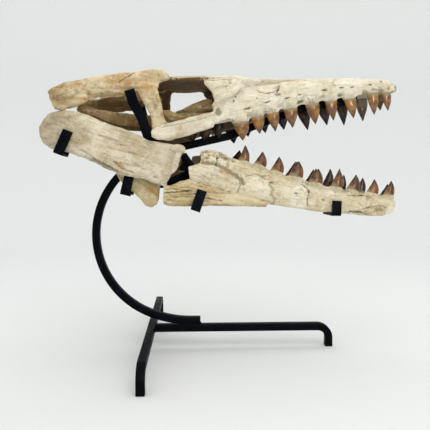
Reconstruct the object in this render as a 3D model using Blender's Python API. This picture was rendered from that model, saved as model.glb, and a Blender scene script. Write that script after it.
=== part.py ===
"""A mosasaur skull fossil, jaws agape, held by a bent steel stand.

Frame: +X towards the snout, +Y the animal's left, +Z up. The origin is on the floor, under the middle of the
whole model's box. Tables are in millimetres, from a zero 19.2 mm ahead of the origin and 10.25 mm to its
left, and meshes are in metres.
The skull's tables are for its right side. The left side is the same bones mirrored, with its own teeth.
"""

import math
from typing import NamedTuple

import bmesh
import bpy
from mathutils import Matrix, Vector

MM = 0.001
RIGHT, LEFT = -1, 1  # the sign of y on each side of the skull
SIDE_NAMES = {RIGHT: "right", LEFT: "left"}

# Driving dimensions, in millimetres
GAP = 0.4  # free space in a suture, a broken joint or under a strap
HALF_GAP = GAP / 2
SKULL_ROLL = math.radians(2.0)  # the crushed skull sits a little higher on its right
ROLL_HEIGHT = 400.0
BLADE_HALF = 7.0  # half the thickness of the premaxilla's internarial bar
SNOUT_JOINT_X = 242.0  # where the maxillae end and the premaxilla's head begins
FRONTAL_FRONT_X = 58.0
SQUAMOSAL_FRONT_X = -199.0
TOOTH_SINK = 7.0  # how deep a crown's root stands in its bone

BAR = 12.7  # square bar of the stand
FOOT_HEIGHT = 41.5
CROSS_BAR_X = -112.8
FOOT_Y = {RIGHT: -193.5, LEFT: 214.0}
LONG_BAR_END_X = 197.8
BEND_RADIUS = 20.0
POST_CENTRE = (-58.9, 197.8)  # of the C-shaped post's bend, x and z
POST_RADIUS = 146.7  # to its centre line
POST_FOOT_X = -28.0
POST_FLAT_X = -44.0  # where the post meets the long bar
STRAP_WIDTH = 15.5
STRAP_THICK = 3.5
ORIGIN = (-19.2, -10.25)  # moves the tables' zero so that the model's box is centred on the origin


class Slab(NamedTuple):
    """A cross-section of a flat bone: its upper and lower edge, its outer face and its thickness."""

    x_top: float
    z_top: float
    x_low: float
    z_low: float
    outer: float
    thick: float


class Rod(NamedTuple):
    """A cross-section of a rod-like bone: its centre, its width and its height."""

    x: float
    y: float
    z: float
    wide: float
    high: float


class Vault(NamedTuple):
    """A cross-section of a bone that spans the midline."""

    x: float
    half: float
    z_top: float
    z_edge: float
    z_low: float


class Tooth(NamedTuple):
    """A crown: where it leaves the bone, its tip, and its length along the jaw."""

    base_x: float
    base_z: float
    tip_x: float
    tip_z: float
    chord: float


# ---------------------------------------------------------------- materials


def material(name, colour, roughness):
    """A Principled BSDF in one colour."""
    made = bpy.data.materials.new(name)
    made.use_nodes = True
    made.diffuse_color = (*colour, 1.0)
    shader = made.node_tree.nodes["Principled BSDF"]
    shader.inputs["Base Color"].default_value = (*colour, 1.0)
    shader.inputs["Roughness"].default_value = roughness
    return made


# ---------------------------------------------------------------- mesh tools


def mesh_object(name, rings, finish, tip=None):
    """A closed mesh through rings of points, in millimetres, capped at both ends or drawn to a tip."""
    mesh = bpy.data.meshes.new(name)
    shape = bmesh.new()
    loops = [[shape.verts.new(Vector(p) * MM) for p in ring] for ring in rings]
    count = len(loops[0])
    for near, far in zip(loops, loops[1:]):
        for i in range(count):
            j = (i + 1) % count
            shape.faces.new((near[i], near[j], far[j], far[i]))
    shape.faces.new(list(reversed(loops[0])))
    if tip is None:
        shape.faces.new(loops[-1])
    else:
        point = shape.verts.new(Vector(tip) * MM)
        for i in range(count):
            shape.faces.new((loops[-1][i], loops[-1][(i + 1) % count], point))
    bmesh.ops.triangulate(shape, faces=shape.faces[:])
    bmesh.ops.recalc_face_normals(shape, faces=shape.faces[:])
    shape.to_mesh(mesh)
    shape.free()
    mesh.shade_smooth()
    mesh.set_sharp_from_angle(angle=math.radians(40))
    made = bpy.data.objects.new(name, mesh)
    made.data.materials.append(finish)
    bpy.context.scene.collection.objects.link(made)
    return made


def evaluated_mesh(made):
    """The object's mesh with its modifiers applied."""
    bpy.context.view_layer.update()
    graph = bpy.context.evaluated_depsgraph_get()
    return bpy.data.meshes.new_from_object(made.evaluated_get(graph))


def combine(body, others):
    """Joins body with the other objects, which are then removed."""
    for other in others:
        boolean = body.modifiers.new("boolean", "BOOLEAN")
        boolean.operation = "UNION"
        boolean.solver = "EXACT"
        boolean.object = other
    mesh = evaluated_mesh(body)
    body.modifiers.clear()
    body.data = mesh
    for other in others:
        bpy.data.objects.remove(other)
    return body


def lerp(a, b, t):
    """The value a share t of the way from a to b."""
    return a + (b - a) * t


def at(table, x):
    """The value at x of a table of (x, value) pairs, joined by straight lines."""
    for (x0, v0), (x1, v1) in zip(table, table[1:]):
        if x <= x1:
            return lerp(v0, v1, max(0.0, (x - x0) / (x1 - x0)))
    return table[-1][1]


def power(value, exponent):
    """A power that keeps the value's sign."""
    return math.copysign(abs(value) ** exponent, value)


def oval(points, squareness, phase=0.5):
    """Unit superellipse points: squareness 1 is a circle and small values near a rectangle."""
    for i in range(points):
        angle = math.tau * (i + phase) / points
        yield power(math.cos(angle), squareness), power(math.sin(angle), squareness)


def slab_rings(stations, side, points=10, squareness=0.7):
    """Rings of a flat bone that stands upright on one side of the skull."""
    rings = []
    for s in stations:
        top, low = Vector((s.x_top, 0, s.z_top)), Vector((s.x_low, 0, s.z_low))
        middle, reach = (top + low) / 2, (top - low) / 2
        depth = s.outer - s.thick / 2
        ring = [
            middle + reach * v + Vector((0, side * (depth + u * s.thick / 2), 0))
            for u, v in oval(points, squareness)
        ]
        rings.append(ring)
    return rings


def rod_rings(stations, side, points=8, squareness=0.85):
    """Rings of a rod-like bone, square to its path."""
    centres = [Vector((s.x, side * s.y, s.z)) for s in stations]
    rings = []
    for i, s in enumerate(stations):
        along = centres[min(i + 1, len(centres) - 1)] - centres[max(i - 1, 0)]
        along.normalize()
        across = along.cross(Vector((0, 0, 1))).normalized()
        up = across.cross(along)
        ring = [
            centres[i] + across * (u * s.wide / 2) + up * (v * s.high / 2)
            for u, v in oval(points, squareness)
        ]
        rings.append(ring)
    return rings


def bar_rings(path, wide, thick, face):
    """Rectangular rings along a path, mitred at its corners. face is the normal of the bar's broad side."""
    face = Vector(face).normalized()
    points = [Vector(p) for p in path]
    rings = []
    for i, centre in enumerate(points):
        before = (centre - points[max(i - 1, 0)]).normalized()
        after = (points[min(i + 1, len(points) - 1)] - centre).normalized()
        along = (before + after).normalized()
        straight = after if i < len(points) - 1 else before
        mitre = 1 / max(0.3, along.dot(straight))
        across = face.cross(along).normalized()
        square = along.cross(across)
        rings.append(
            [
                centre + square * (a * thick / 2) + across * (b * wide / 2 * mitre)
                for a, b in ((1, 1), (-1, 1), (-1, -1), (1, -1))
            ]
        )
    return rings


def arc(centre, radius, start, end, steps):
    """Points (x, z) on an arc, with the angles in degrees."""
    return [
        (
            centre[0] + radius * math.cos(math.radians(lerp(start, end, i / steps))),
            centre[1] + radius * math.sin(math.radians(lerp(start, end, i / steps))),
        )
        for i in range(steps + 1)
    ]


# ---------------------------------------------------------------- teeth

UPPER_TEETH = {
    RIGHT: [
        Tooth(37, 387, 41, 355, 21),
        Tooth(64, 396, 69, 366.5, 18),
        Tooth(89, 404, 95, 370.5, 17),
        Tooth(119, 411, 124, 377.5, 19),
        Tooth(156, 419, 163, 383.5, 19),
        Tooth(188, 426, 194, 390.5, 17),
        Tooth(221, 430, 229, 394.5, 17),
    ],
    LEFT: [
        Tooth(28, 384, 33, 357, 19),
        Tooth(53, 392, 58, 369, 17),
        Tooth(82, 404, 88, 375, 18),
        Tooth(114, 411, 120, 380.5, 18),
        Tooth(151, 419, 161, 379.5, 19),
        Tooth(185, 426, 194, 387.5, 19),
        Tooth(217, 430, 223, 386.5, 17),
    ],
}
FRONT_TEETH = {
    RIGHT: [Tooth(260, 438, 264, 400.5, 16), Tooth(285, 440, 290, 408.5, 14)],
    LEFT: [Tooth(252, 437, 256, 394.5, 18), Tooth(279, 440, 284, 411.5, 15)],
}
LOWER_TEETH = {
    RIGHT: [
        Tooth(42, 321, 45, 348, 15),
        Tooth(68, 314, 74, 338, 18),
        Tooth(97, 304, 102, 330, 19),
        Tooth(129, 296, 134, 325, 21),
        Tooth(163, 285, 167, 314, 21),
        Tooth(200, 278, 206, 311, 17),
        Tooth(229, 274, 235, 301, 19),
        Tooth(264, 269, 268, 293, 17),
        Tooth(294, 265, 299, 291, 15),
    ],
    LEFT: [
        Tooth(35, 323, 43, 346, 18),
        Tooth(74, 312, 80, 334, 16),
        Tooth(106, 302, 111, 325, 16),
        Tooth(132, 297, 140, 325, 18),
        Tooth(165, 285, 171, 311, 18),
        Tooth(194, 279, 200, 312, 17),
        Tooth(220, 275, 223, 302, 11),
        Tooth(251, 271, 255.5, 296.5, 14),
        Tooth(291, 265, 297, 285, 12),
    ],
}
PALATE_TEETH = [Tooth(-39, 385, -43, 354.5, 17), Tooth(-17, 388, -21.5, 355, 18), Tooth(2, 389, 3, 360, 15)]


TOOTH_PROFILE = ((0.0, 1.0), (0.45, 0.84), (0.8, 0.42))  # share of the crown's height, share of its width
TOOTH_FLATNESS = 0.72  # a crown's width across the jaw, as a share of its length along it
TOOTH_BOW = 0.1  # how far a crown's middle is pushed forward, as a share of its length along the jaw
TIP_INWARD = 0.97  # the tips lean a little towards the midline


def tooth(crown, y, finish):
    """A cone that bulges over its base and draws to a tip, flattened from side to side."""
    base = Vector((crown.base_x, y, crown.base_z))
    tip = Vector((crown.tip_x, y * TIP_INWARD, crown.tip_z))
    axis = (tip - base).normalized()
    forward = Vector((1, 0, 0)) - axis * axis.x
    forward.normalize()
    across = axis.cross(forward)
    rings = []
    root = (-TOOTH_SINK / (tip - base).length, 0.98)
    for share, size in (root, *TOOTH_PROFILE):
        bow = forward * (math.sin(max(0.0, share) * math.pi) * crown.chord * TOOTH_BOW)
        centre = base + (tip - base) * share + bow
        long_half = size * crown.chord / 2
        wide_half = long_half * TOOTH_FLATNESS
        ring = [centre + forward * (u * long_half) + across * (v * wide_half) for u, v in oval(6, 1.0, 0)]
        rings.append(ring)
    return mesh_object("crown", rings, finish, tip=tip)


# ---------------------------------------------------------------- cranium

SNOUT_HALF = [(-10, 58), (20, 55), (55, 50), (95, 43), (135, 37), (175, 32), (215, 27), (250, 22.5)]
TOOTH_MARGIN = [(-10, 379.5), (20, 386), (50, 394), (95, 405), (135, 414), (175, 423), (215, 429), (250, 434)]
MARGIN_DROP = {RIGHT: [(-10, 0), (250, 0)], LEFT: [(-10, 8.5), (35, 8), (60, 4), (90, 0), (250, 0)]}
PALATE_VAULT = [(-10, 27), (25, 17.5), (30, 9), (250, 9)]  # how far the palate rises above the tooth margin
MAXILLA_TOP = [(-10, 410), (20, 428), (50, 441), (95, 449), (135, 456), (175, 460), (215, 461), (250, 461)]
NARIS_DEPTH = [(-10, 0), (56, 0), (66, 17), (80, 20), (120, 18), (140, 8), (150, 0), (250, 0)]
SIDE_SLOPE = 0.26  # how far the snout's side leans in over its height
MAXILLA_STATIONS = (-6, 24.5, 30, 50, 68, 95, 120, 138, 152, 180, 215, SNOUT_JOINT_X - GAP)


ROW_INSET = 8.0  # the upper tooth row's distance inside the snout's outline
FRONT_TAPER = 0.3  # how fast the premaxilla's tooth row closes on the midline ahead of its joint


def tooth_row_y(x):
    """How far from the midline the upper tooth row runs."""
    return at(SNOUT_HALF, x) - ROW_INSET


def front_row_y(x):
    """How far from the midline a premaxillary tooth stands."""
    return max(6.0, at(SNOUT_HALF, x) - FRONT_TAPER * (x - SNOUT_JOINT_X))


def maxilla(side, finish):
    """Half of the snout: a sloping side, a margin full of teeth, a raised palate and the naris in its top."""
    rings = []
    for x in MAXILLA_STATIONS:
        half, margin, top = at(SNOUT_HALF, x), at(TOOTH_MARGIN, x), at(MAXILLA_TOP, x)
        high = top - margin
        shoulder = half - SIDE_SLOPE * high
        low = margin - at(MARGIN_DROP[side], x)
        vault = margin + at(PALATE_VAULT, x)
        floor = top - at(NARIS_DEPTH, x)
        inner = BLADE_HALF + HALF_GAP
        rim = min(7.0, (shoulder - inner) / 2)
        outline = (
            (shoulder, top),
            (half - SIDE_SLOPE * high / 4, margin + high * 2 / 3),
            (half, margin + high / 3),
            (half - 1.5, low),
            (max(half - 14, inner + 1), low + 0.5),
            (max(half - 17, inner + 0.5), vault - 1.5),
            (inner, vault),
            (inner, floor),
            (shoulder - rim - 1, floor),
            (shoulder - rim, top),
        )
        rings.append([(x, side * u, z) for u, z in outline])
    bone = mesh_object("maxilla_" + SIDE_NAMES[side], rings, finish)
    crowns = [tooth(crown, side * tooth_row_y(crown.base_x), finish) for crown in UPPER_TEETH[side]]
    return combine(bone, crowns)


PREMAXILLA = [
    Vault(FRONTAL_FRONT_X + GAP, BLADE_HALF, 463, 461, 409),
    Vault(95, BLADE_HALF, 462, 460, 416),
    Vault(150, BLADE_HALF, 462, 461, 427),
    Vault(205, BLADE_HALF, 462, 461, 437),
    Vault(SNOUT_JOINT_X, BLADE_HALF, 462, 461, 443),
    Vault(SNOUT_JOINT_X + HALF_GAP, 22.5, 462, 452, 435),
    Vault(262, 20.5, 463, 454, 437),
    Vault(278, 17, 462.5, 454, 438),
    Vault(291, 12.5, 460.5, 452, 438.5),
    Vault(301, 7.5, 456.5, 450, 440),
    Vault(307, 2.5, 451.5, 449, 444),
]


def premaxilla(finish):
    """The snout's tip with four teeth, and the blade that runs back between the nares."""
    rings = []
    for s in PREMAXILLA:
        outline = [
            (0, s.z_top),
            (0.55 * s.half, lerp(s.z_top, s.z_edge, 0.25)),
            (s.half, s.z_edge),
            (s.half, lerp(s.z_edge, s.z_low, 0.7)),
            (0.8 * s.half, s.z_low),
        ]
        mirrored = [(-u, z) for u, z in reversed(outline[1:])]
        rings.append([(s.x, u, z) for u, z in [*outline, *mirrored]])
    bone = mesh_object("premaxilla", rings, finish)
    crowns = [
        tooth(crown, side * front_row_y(crown.base_x), finish)
        for side in (RIGHT, LEFT)
        for crown in FRONT_TEETH[side]
    ]
    return combine(bone, crowns)


FRONTAL = [
    Vault(-104, 35, 464, 459, 449),
    Vault(-90, 37, 464, 458, 450),
    Vault(-89, 51, 464, 456, 450),
    Vault(-76, 51.5, 464, 455, 450),
    Vault(-75, 60, 464, 453, 450),
    Vault(-60, 58, 464, 452, 451),
    Vault(-20, 57, 465, 453, 451),
    Vault(10, 48, 465, 457, 451),
    Vault(38, 32, 464, 460, 451),
    Vault(FRONTAL_FRONT_X, 10, 463, 461, 451),
]


FRONTAL_EDGE = 5.0  # the thickness of its side edges


def frontal(finish):
    """The plate between the orbits: ridged above, hollow below, with thin side edges."""
    rings = []
    for s in FRONTAL:
        outline = [
            (0, s.z_top),
            (0.5 * s.half, lerp(s.z_top, s.z_edge, 0.35)),
            (s.half, s.z_edge),
            (s.half - 1, s.z_edge - FRONTAL_EDGE),
            (0.55 * s.half, s.z_low - 0.5),
            (0, s.z_low + 1),
        ]
        mirrored = [(-u, z) for u, z in reversed(outline[1:-1])]
        rings.append([(s.x, u, z) for u, z in [*outline, *mirrored]])
    return mesh_object("frontal", rings, finish)


PREFRONTAL = [
    Slab(-21, 446.5, -21, 443, 57, 8),
    Slab(-11, 447.5, -10, 431, 58, 11),
    Slab(-4, 448.5, -4, 413, 58, 11),
    Slab(8, 450.5, 8, 423.5, 55, 11),
    Slab(25, 450, 25, 432, 50, 11),
    Slab(42, 450, 42, 439, 44, 10),
    Slab(60, 448, 60, 444.5, 38, 8),
]

ECTOPTERYGOID = [
    Slab(-88, 402, -86, 392, 56, 7),
    Slab(-76, 403, -76, 384, 57, 9),
    Slab(-60, 396, -62, 383, 56, 9),
    Slab(-48, 393, -49, 386, 54, 7),
]

JUGAL = [
    Slab(-105, 367, -104, 356, 76, 9),
    Slab(-99, 371, -94, 353, 77, 11),
    Slab(-78, 381, -76, 353.5, 74, 12),
    Slab(-50, 388.5, -54, 359, 70, 12),
    Slab(-22, 396, -26, 369, 65, 12),
    Slab(-8, 399, -7, 376, 61, 11),
]

POSTORBITAL_BAR = [
    Slab(-127, 444, -91, 447, 72, 16),
    Slab(-125, 425, -93, 430, 77, 14),
    Slab(-113, 406, -87, 404, 77, 13),
    Slab(-105, 388, -84, 390, 76, 13),
    Slab(-103, 371, -80, 382, 75, 12),
]
POSTORBITAL_WIDEN = {RIGHT: 0, LEFT: 13}  # the left bar is broader towards the orbit
WIDEN_SHARE = [(380, 0), (400, 0.5), (425, 0.9), (447, 1)]  # at heights up the bar
TEMPORAL_ARCADE = [
    Slab(SQUAMOSAL_FRONT_X + GAP, 446, SQUAMOSAL_FRONT_X + GAP, 423, 92, 15),
    Slab(-180, 450.5, -180, 424.5, 88, 16),
    Slab(-149, 456, -149, 427, 82, 17),
    Slab(-122, 460, -122, 426.5, 76, 18),
    Slab(-100, 463, -100, 436, 72, 18),
    Slab(-88, 463, -88, 444, 70, 17),
    Slab(-77, 456, -77, 447, 70, 12),
]
POSTORBITAL_FLANGE = [
    Slab(-122, 460, -122, 446, 64, 27),
    Slab(-106, 461, -106, 446, 64, 26),
    Slab(-90.2, 461, -90.2, 448, 64, 25),
]

SQUAMOSAL = [
    Slab(-255, 425, -255, 421, 96, 10),
    Slab(-249, 429, -249, 420.5, 99, 22),
    Slab(-232, 437, -232, 420.5, 99, 26),
    Slab(-214, 441.5, -214, 420.5, 96, 22),
    Slab(SQUAMOSAL_FRONT_X, 445.5, SQUAMOSAL_FRONT_X, 421.5, 92, 16),
]
QUADRATE = [
    Slab(-253, 419, -254, 411, 98, 12),
    Slab(-247, 420, -247, 396.5, 100, 22),
    Slab(-236, 420, -236, 397.5, 100, 24),
    Slab(-226, 420, -226, 398.5, 98, 22),
    Slab(-214, 420, -214, 403, 95, 18),
    Slab(-200, 420, -200, 409, 92, 12),
]

PARIETAL = [
    Vault(-212, 17, 456, 452, 436),
    Vault(-200, 18, 459, 454, 436),
    Vault(-170, 15, 461, 456, 440),
    Vault(-135, 18, 463, 458, 441),
    Vault(-112, 32, 464, 459, 445),
    Vault(-104.4, 36, 464, 459, 448),
]
SUPRATEMPORAL = [
    Rod(-202, 22.5, 447, 14, 13),
    Rod(-214, 42, 444, 12, 15),
    Rod(-228, 66, 436, 10, 16),
    Rod(-230, 71.5, 434, 10, 14),
]

BRAINCASE = [
    Vault(-221, 8, 421, 416, 405),
    Vault(-212, 12, 424, 416, 403),
    Vault(-205, 10, 423, 416, 406),
    Vault(-196, 24, 425, 421, 410),
    Vault(-180, 25, 434, 428, 412),
    Vault(-160, 22, 438, 432, 413),
    Vault(-135, 17, 440, 434, 413),
    Vault(-112, 10, 438, 432, 418),
    Vault(-92, 5, 432, 428, 422),
]
OPISTHOTIC = [
    Rod(-197, 28.5, 416, 13, 12),
    Rod(-212, 47, 414, 10, 13),
    Rod(-226, 69, 412, 9, 14),
    Rod(-228, 73, 412, 9, 12),
]

PTERYGOID = [
    Rod(-214, 73, 404, 7, 11),
    Rod(-190, 58, 396, 9, 14),
    Rod(-155, 40, 388.5, 10, 22),
    Rod(-115, 29, 387.5, 12, 22),
    Rod(-75, 24, 391, 15, 17),
    Rod(-35, 22, 393, 16, 16),
    Rod(0, 21, 396, 15, 14),
    Rod(24, 20, 398, 10, 10),
]
PALATE_ROW_Y = 22.0
PALATINE = [
    Slab(-68, 403.5, -68, 401.5, 28, 6),
    Slab(-58, 407, -58, 402.2, 29, 9),
    Slab(-40, 417, -40, 403.5, 30, 11),
    Slab(-22, 424, -22, 405.5, 31, 12),
    Slab(-8, 426, -8, 406, 32, 12),
]


def slab_bone(name, stations, side, finish):
    """A flat bone of one side, named for it."""
    return mesh_object(f"{name}_{SIDE_NAMES[side]}", slab_rings(stations, side), finish)


def rod_bone(name, stations, side, finish):
    """A rod-like bone of one side, named for it."""
    return mesh_object(f"{name}_{SIDE_NAMES[side]}", rod_rings(stations, side), finish)


def midline_bone(name, stations, finish):
    """A bone that spans the midline, with an eight-cornered section."""
    rings = []
    for s in stations:
        outline = [
            (0, s.z_top),
            (0.6 * s.half, lerp(s.z_top, s.z_edge, 0.4)),
            (s.half, s.z_edge),
            (0.85 * s.half, lerp(s.z_edge, s.z_low, 0.65)),
            (0.4 * s.half, s.z_low),
        ]
        mirrored = [(-u, z) for u, z in reversed(outline[1:])]
        rings.append([(s.x, u, z) for u, z in [*outline, *mirrored]])
    return mesh_object(name, rings, finish)


def postorbitofrontal(side, finish):
    """The bar behind the orbit, the front of the temporal arcade and the flange to the frontal."""
    arcade = slab_bone("postorbitofrontal", TEMPORAL_ARCADE, side, finish)
    widen = POSTORBITAL_WIDEN[side]
    stations = [s._replace(x_low=s.x_low + widen * at(WIDEN_SHARE, s.z_low)) for s in POSTORBITAL_BAR]
    bar = slab_bone("bar", stations, side, finish)
    flange = slab_bone("flange", POSTORBITAL_FLANGE, side, finish)
    return combine(arcade, [bar, flange])


def pterygoid(side, finish):
    """The rod from the quadrate to the palate, with its own short row of teeth."""
    bone = rod_bone("pterygoid", PTERYGOID, side, finish)
    crowns = [tooth(crown, side * PALATE_ROW_Y, finish) for crown in PALATE_TEETH]
    return combine(bone, crowns)


def cranium(finish):
    """All the bones above the mouth."""
    bones = [
        premaxilla(finish),
        frontal(finish),
        midline_bone("parietal", PARIETAL, finish),
        midline_bone("braincase", BRAINCASE, finish),
    ]
    for side in (RIGHT, LEFT):
        bones += [
            maxilla(side, finish),
            slab_bone("prefrontal", PREFRONTAL, side, finish),
            slab_bone("jugal", JUGAL, side, finish),
            postorbitofrontal(side, finish),
            slab_bone("squamosal", SQUAMOSAL, side, finish),
            slab_bone("quadrate", QUADRATE, side, finish),
            rod_bone("supratemporal", SUPRATEMPORAL, side, finish),
            rod_bone("opisthotic", OPISTHOTIC, side, finish),
            pterygoid(side, finish),
            slab_bone("palatine", PALATINE, side, finish),
            slab_bone("ectopterygoid", ECTOPTERYGOID, side, finish),
        ]
    return bones


# ---------------------------------------------------------------- lower jaw

POSTDENTARY = [
    Slab(-269, 371, -269, 357, 99, 8),
    Slab(-262, 381, -265, 345, 102, 16),
    Slab(-250, 390, -253, 337, 102, 22),
    Slab(-232, 395.5, -238, 334, 100, 25),
    Slab(-214, 395, -222, 331.5, 98, 24),
    Slab(-176, 381, -186, 315, 92, 20),
    Slab(-140, 368, -153, 299, 86, 17),
    Slab(-104, 354, -118, 293, 79, 15),
    Slab(-70, 347, -96, 281, 72, 13),
    Slab(-50, 342, -84, 281, 69, 11),
]
ANGULAR = [
    Slab(-168, 313, -163, 304, 64, 5),
    Slab(-156, 317, -155, 291, 63, 8),
    Slab(-146, 318, -147.5, 279, 62, 9),
    Slab(-136, 318, -137, 273.5, 61, 10),
    Slab(-124, 317, -124.5, 262, 59.5, 10.5),
    Slab(-114, 316, -116, 250, 58, 11),
    Slab(-104, 312, -106, 247.5, 57, 11),
    Slab(-94, 306, -98, 252, 56.5, 10.5),
    Slab(-89, 300, -94.5, 262, 56, 8),
]
ANGULAR_SHIFT = {RIGHT: 0, LEFT: -9}  # the left angular has slipped back along its jaw
DENTARY_REAR = {
    RIGHT: [
        Slab(-47, 313, -45, 296, 66, 10),
        Slab(-28, 319, -30, 288, 64, 13),
        Slab(-26, 339, -26, 287, 63.5, 16),
    ],
    LEFT: [
        Slab(-78, 309, -74, 290, 54, 7),
        Slab(-60, 315, -60, 293, 57, 9),
        Slab(-44, 319, -44, 295, 62, 12),
        Slab(-42, 336, -42, 294, 63, 13),
    ],
}
DENTARY = [
    Slab(-10, 340, -10, 281, 61, 17),
    Slab(6, 336, 4, 277.5, 58, 18),
    Slab(22, 328, 20, 273, 56, 19),
    Slab(52, 320, 50, 262, 51, 20),
    Slab(84, 309, 82, 252.5, 45, 20),
    Slab(112, 300, 112, 247, 40, 20),
    Slab(140, 294, 140, 242, 36, 19),
    Slab(168, 284, 168, 238.5, 32, 19),
    Slab(200, 277, 200, 236, 28, 18),
    Slab(232, 273, 232, 233, 24, 17),
    Slab(262, 269, 262, 230, 19.5, 16),
    Slab(284, 266, 284, 230, 15.5, 15),
    Slab(299, 262, 299, 234, 9.5, 9.1),
    Slab(307, 254, 307, 242, 4.5, 4.2),
]
SPLENIAL = [
    Slab(-85.5, 280, -86, 254, 72, 14),
    Slab(-78, 283, -79, 250.5, 72, 16),
    Slab(-62, 289, -62, 250, 69, 17),
    Slab(-47, 293, -49, 250, 66.5, 17),
    Slab(-30, 287, -30, 249.5, 64, 17),
    Slab(-10, 280.4, -10, 249.5, 60, 17),
    Slab(20, 272.4, 20, 249.5, 55, 17),
    Slab(50, 261.4, 50, 248.5, 50, 15),
    Slab(80, 252, 80, 248, 45, 10),
]


def dentary(side, finish):
    """The front of the jaw: a thin sheet behind, a block above it, then the tooth-bearing beam."""
    bone = slab_bone("dentary", [*DENTARY_REAR[side], *DENTARY], side, finish)
    middle = [(s.x_top, s.outer - s.thick / 2) for s in DENTARY]
    crowns = [tooth(crown, side * at(middle, crown.base_x), finish) for crown in LOWER_TEETH[side]]
    return combine(bone, crowns)


def lower_jaw(finish):
    """Both rami, each broken at the hinge behind its dentary."""
    bones = []
    for side in (RIGHT, LEFT):
        slip = ANGULAR_SHIFT[side]
        angular = [s._replace(x_top=s.x_top + slip, x_low=s.x_low + slip) for s in ANGULAR]
        bones += [
            slab_bone("postdentary", POSTDENTARY, side, finish),
            slab_bone("angular", angular, side, finish),
            dentary(side, finish),
            slab_bone("splenial", SPLENIAL, side, finish),
        ]
    return bones


# ---------------------------------------------------------------- stand

BAR_CENTRE_Z = FOOT_HEIGHT - BAR / 2
PALATE_BAR = [(24, 367), (63, 383), (142, 412), (176, 419), (210, 424), (238, 428)]
JAW_BAR = [(-56.5, 334.5), (-41, 312.5), (-26, 299.5), (0, 290), (60, 275), (196, 243.5)]
REAR_BAR = [(-240, 362.8), (-112, 347.7)]


class Hook(NamedTuple):
    """A strap that grips one side of the jaw from below, and the bar that carries it.

    x and z are where it passes under the bone, and turn is how far it leans back, in degrees.
    outer and inner are the bone's faces there, rise and inner_rise how far the strap climbs outside and
    inside the bone, and arm the way of its bar from there to the middle, as points (x, y, z).
    """

    x: float
    z: float
    turn: float
    outer: float
    inner: float
    rise: float
    inner_rise: float
    arm: tuple


HINGE_HOOK = Hook(-146.0, 271.5, 14, 63, 51, 33, 12, ((-84, 28, 286), (-47, 10.7, 302)))
MIDDLE_HOOK = Hook(-35.2, 246.3, 19, 66.3, 45, 33, 16, ((-24, 25, 280), (-12, 12.8, 292)))
REAR_HOOK = {
    RIGHT: Hook(-238.8, 333.0, 20, 102.3, 74.6, 35.5, 28, ((-228, 40, 361), (-226, 7.4, 361.5))),
    LEFT: Hook(-197.0, 317.5, 24, 95.5, 71.8, 35.5, 36, ((-184, 40, 355), (-184, 7.4, 356))),
}
FRONT_HOOK = Hook(198.3, 235.9, 1, 29.4, HALF_GAP, 23.5, 0, ())  # it has no arm: it ends at its twin
CRANIUM_STRAP = [(-139, 57, 435), (-131, 59, 408.5), (-109, 62.5, 360), (-101, 48, 344), (-97, 10, 338)]


def foot(turn):
    """Points (distance, z) of a bar that bends down at that distance and stands on the floor."""
    reach = math.copysign(BEND_RADIUS, turn)
    bend = arc((abs(turn) - BEND_RADIUS, BAR_CENTRE_Z - BEND_RADIUS), BEND_RADIUS, 90, 0, 4)
    return [*((math.copysign(distance, reach), z) for distance, z in bend), (turn, 0)]


def cross_bar(finish):
    """The bar across the base, with a foot at each end."""
    run = [*reversed(foot(FOOT_Y[RIGHT])), *foot(FOOT_Y[LEFT])]
    path = [(CROSS_BAR_X, y, z) for y, z in run]
    return mesh_object("stand_cross_bar", bar_rings(path, BAR, BAR, (1, 0, 0)), finish)


def midline_bar(name, points, finish):
    """A square bar along (x, z) points in the middle plane."""
    path = [(x, 0, z) for x, z in points]
    return mesh_object(name, bar_rings(path, BAR, BAR, (0, 1, 0)), finish)


def long_bar(finish):
    """The bar that runs forward from the cross bar to a foot of its own."""
    start = CROSS_BAR_X + BAR / 2 + HALF_GAP
    return midline_bar("stand_long_bar", [(start, BAR_CENTRE_Z), *foot(LONG_BAR_END_X)], finish)


def settle(start, slope, flat_x, flat_z, steps):
    """Points (x, z) of a bend that runs out level at flat_x and flat_z."""
    run = flat_x - start[0]
    for i in range(1, steps + 1):
        t = i / steps
        fall = (start[1] - flat_z + slope * run) * t * t - slope * run * t
        yield lerp(start[0], flat_x, t), start[1] - fall


def post(finish):
    """One bar: welded along the base, bent round in a C and led forward under the palate."""
    turn = arc(POST_CENTRE, POST_RADIUS, 250, 103, 12)
    level = FOOT_HEIGHT + HALF_GAP + BAR / 2
    slope = math.tan(math.radians(250 - 270))
    landing = list(settle(turn[0], slope, POST_FLAT_X, level, 4))
    return midline_bar("stand_post", [(POST_FOOT_X, level), *reversed(landing), *turn, *PALATE_BAR], finish)


def strap(name, path, broad, finish):
    """A flat steel strip along a path. broad is the way its width lies."""
    return mesh_object(name, bar_rings(path, STRAP_THICK, STRAP_WIDTH, broad), finish)


def grip_path(hook, side):
    """Down the outer face, under the bone and up inside it."""
    lean = math.radians(hook.turn)
    up = Vector((math.sin(lean), 0, math.cos(lean)))
    clear = GAP + STRAP_THICK / 2
    under = Vector((hook.x, 0, hook.z)) - up * clear
    outside = under + Vector((0, side * (hook.outer + clear), 0))
    if not hook.inner_rise:
        return [outside + up * hook.rise, outside, under + Vector((0, side * hook.inner, 0))]
    inside = under + Vector((0, side * (hook.inner - clear), 0))
    return [outside + up * hook.rise, outside, inside, inside + up * hook.inner_rise]


def broad_side(hook):
    """The way a hook's strap lies along the jaw."""
    lean = math.radians(hook.turn)
    return (math.cos(lean), 0, -math.sin(lean))


def hook_on_arm(name, hook, side, finish):
    """A hook with the square bar that is welded to its inner end."""
    path = grip_path(hook, side)
    inward = Vector((0, -side * BAR * 0.7, 0))
    arm_path = [path[-1], path[-1] + inward, *((x, side * y, z) for x, y, z in hook.arm)]
    arm = mesh_object("arm", bar_rings(arm_path, BAR, BAR, (0, 0, 1)), finish)
    return combine(strap(name, path, broad_side(hook), finish), [arm])


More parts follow.
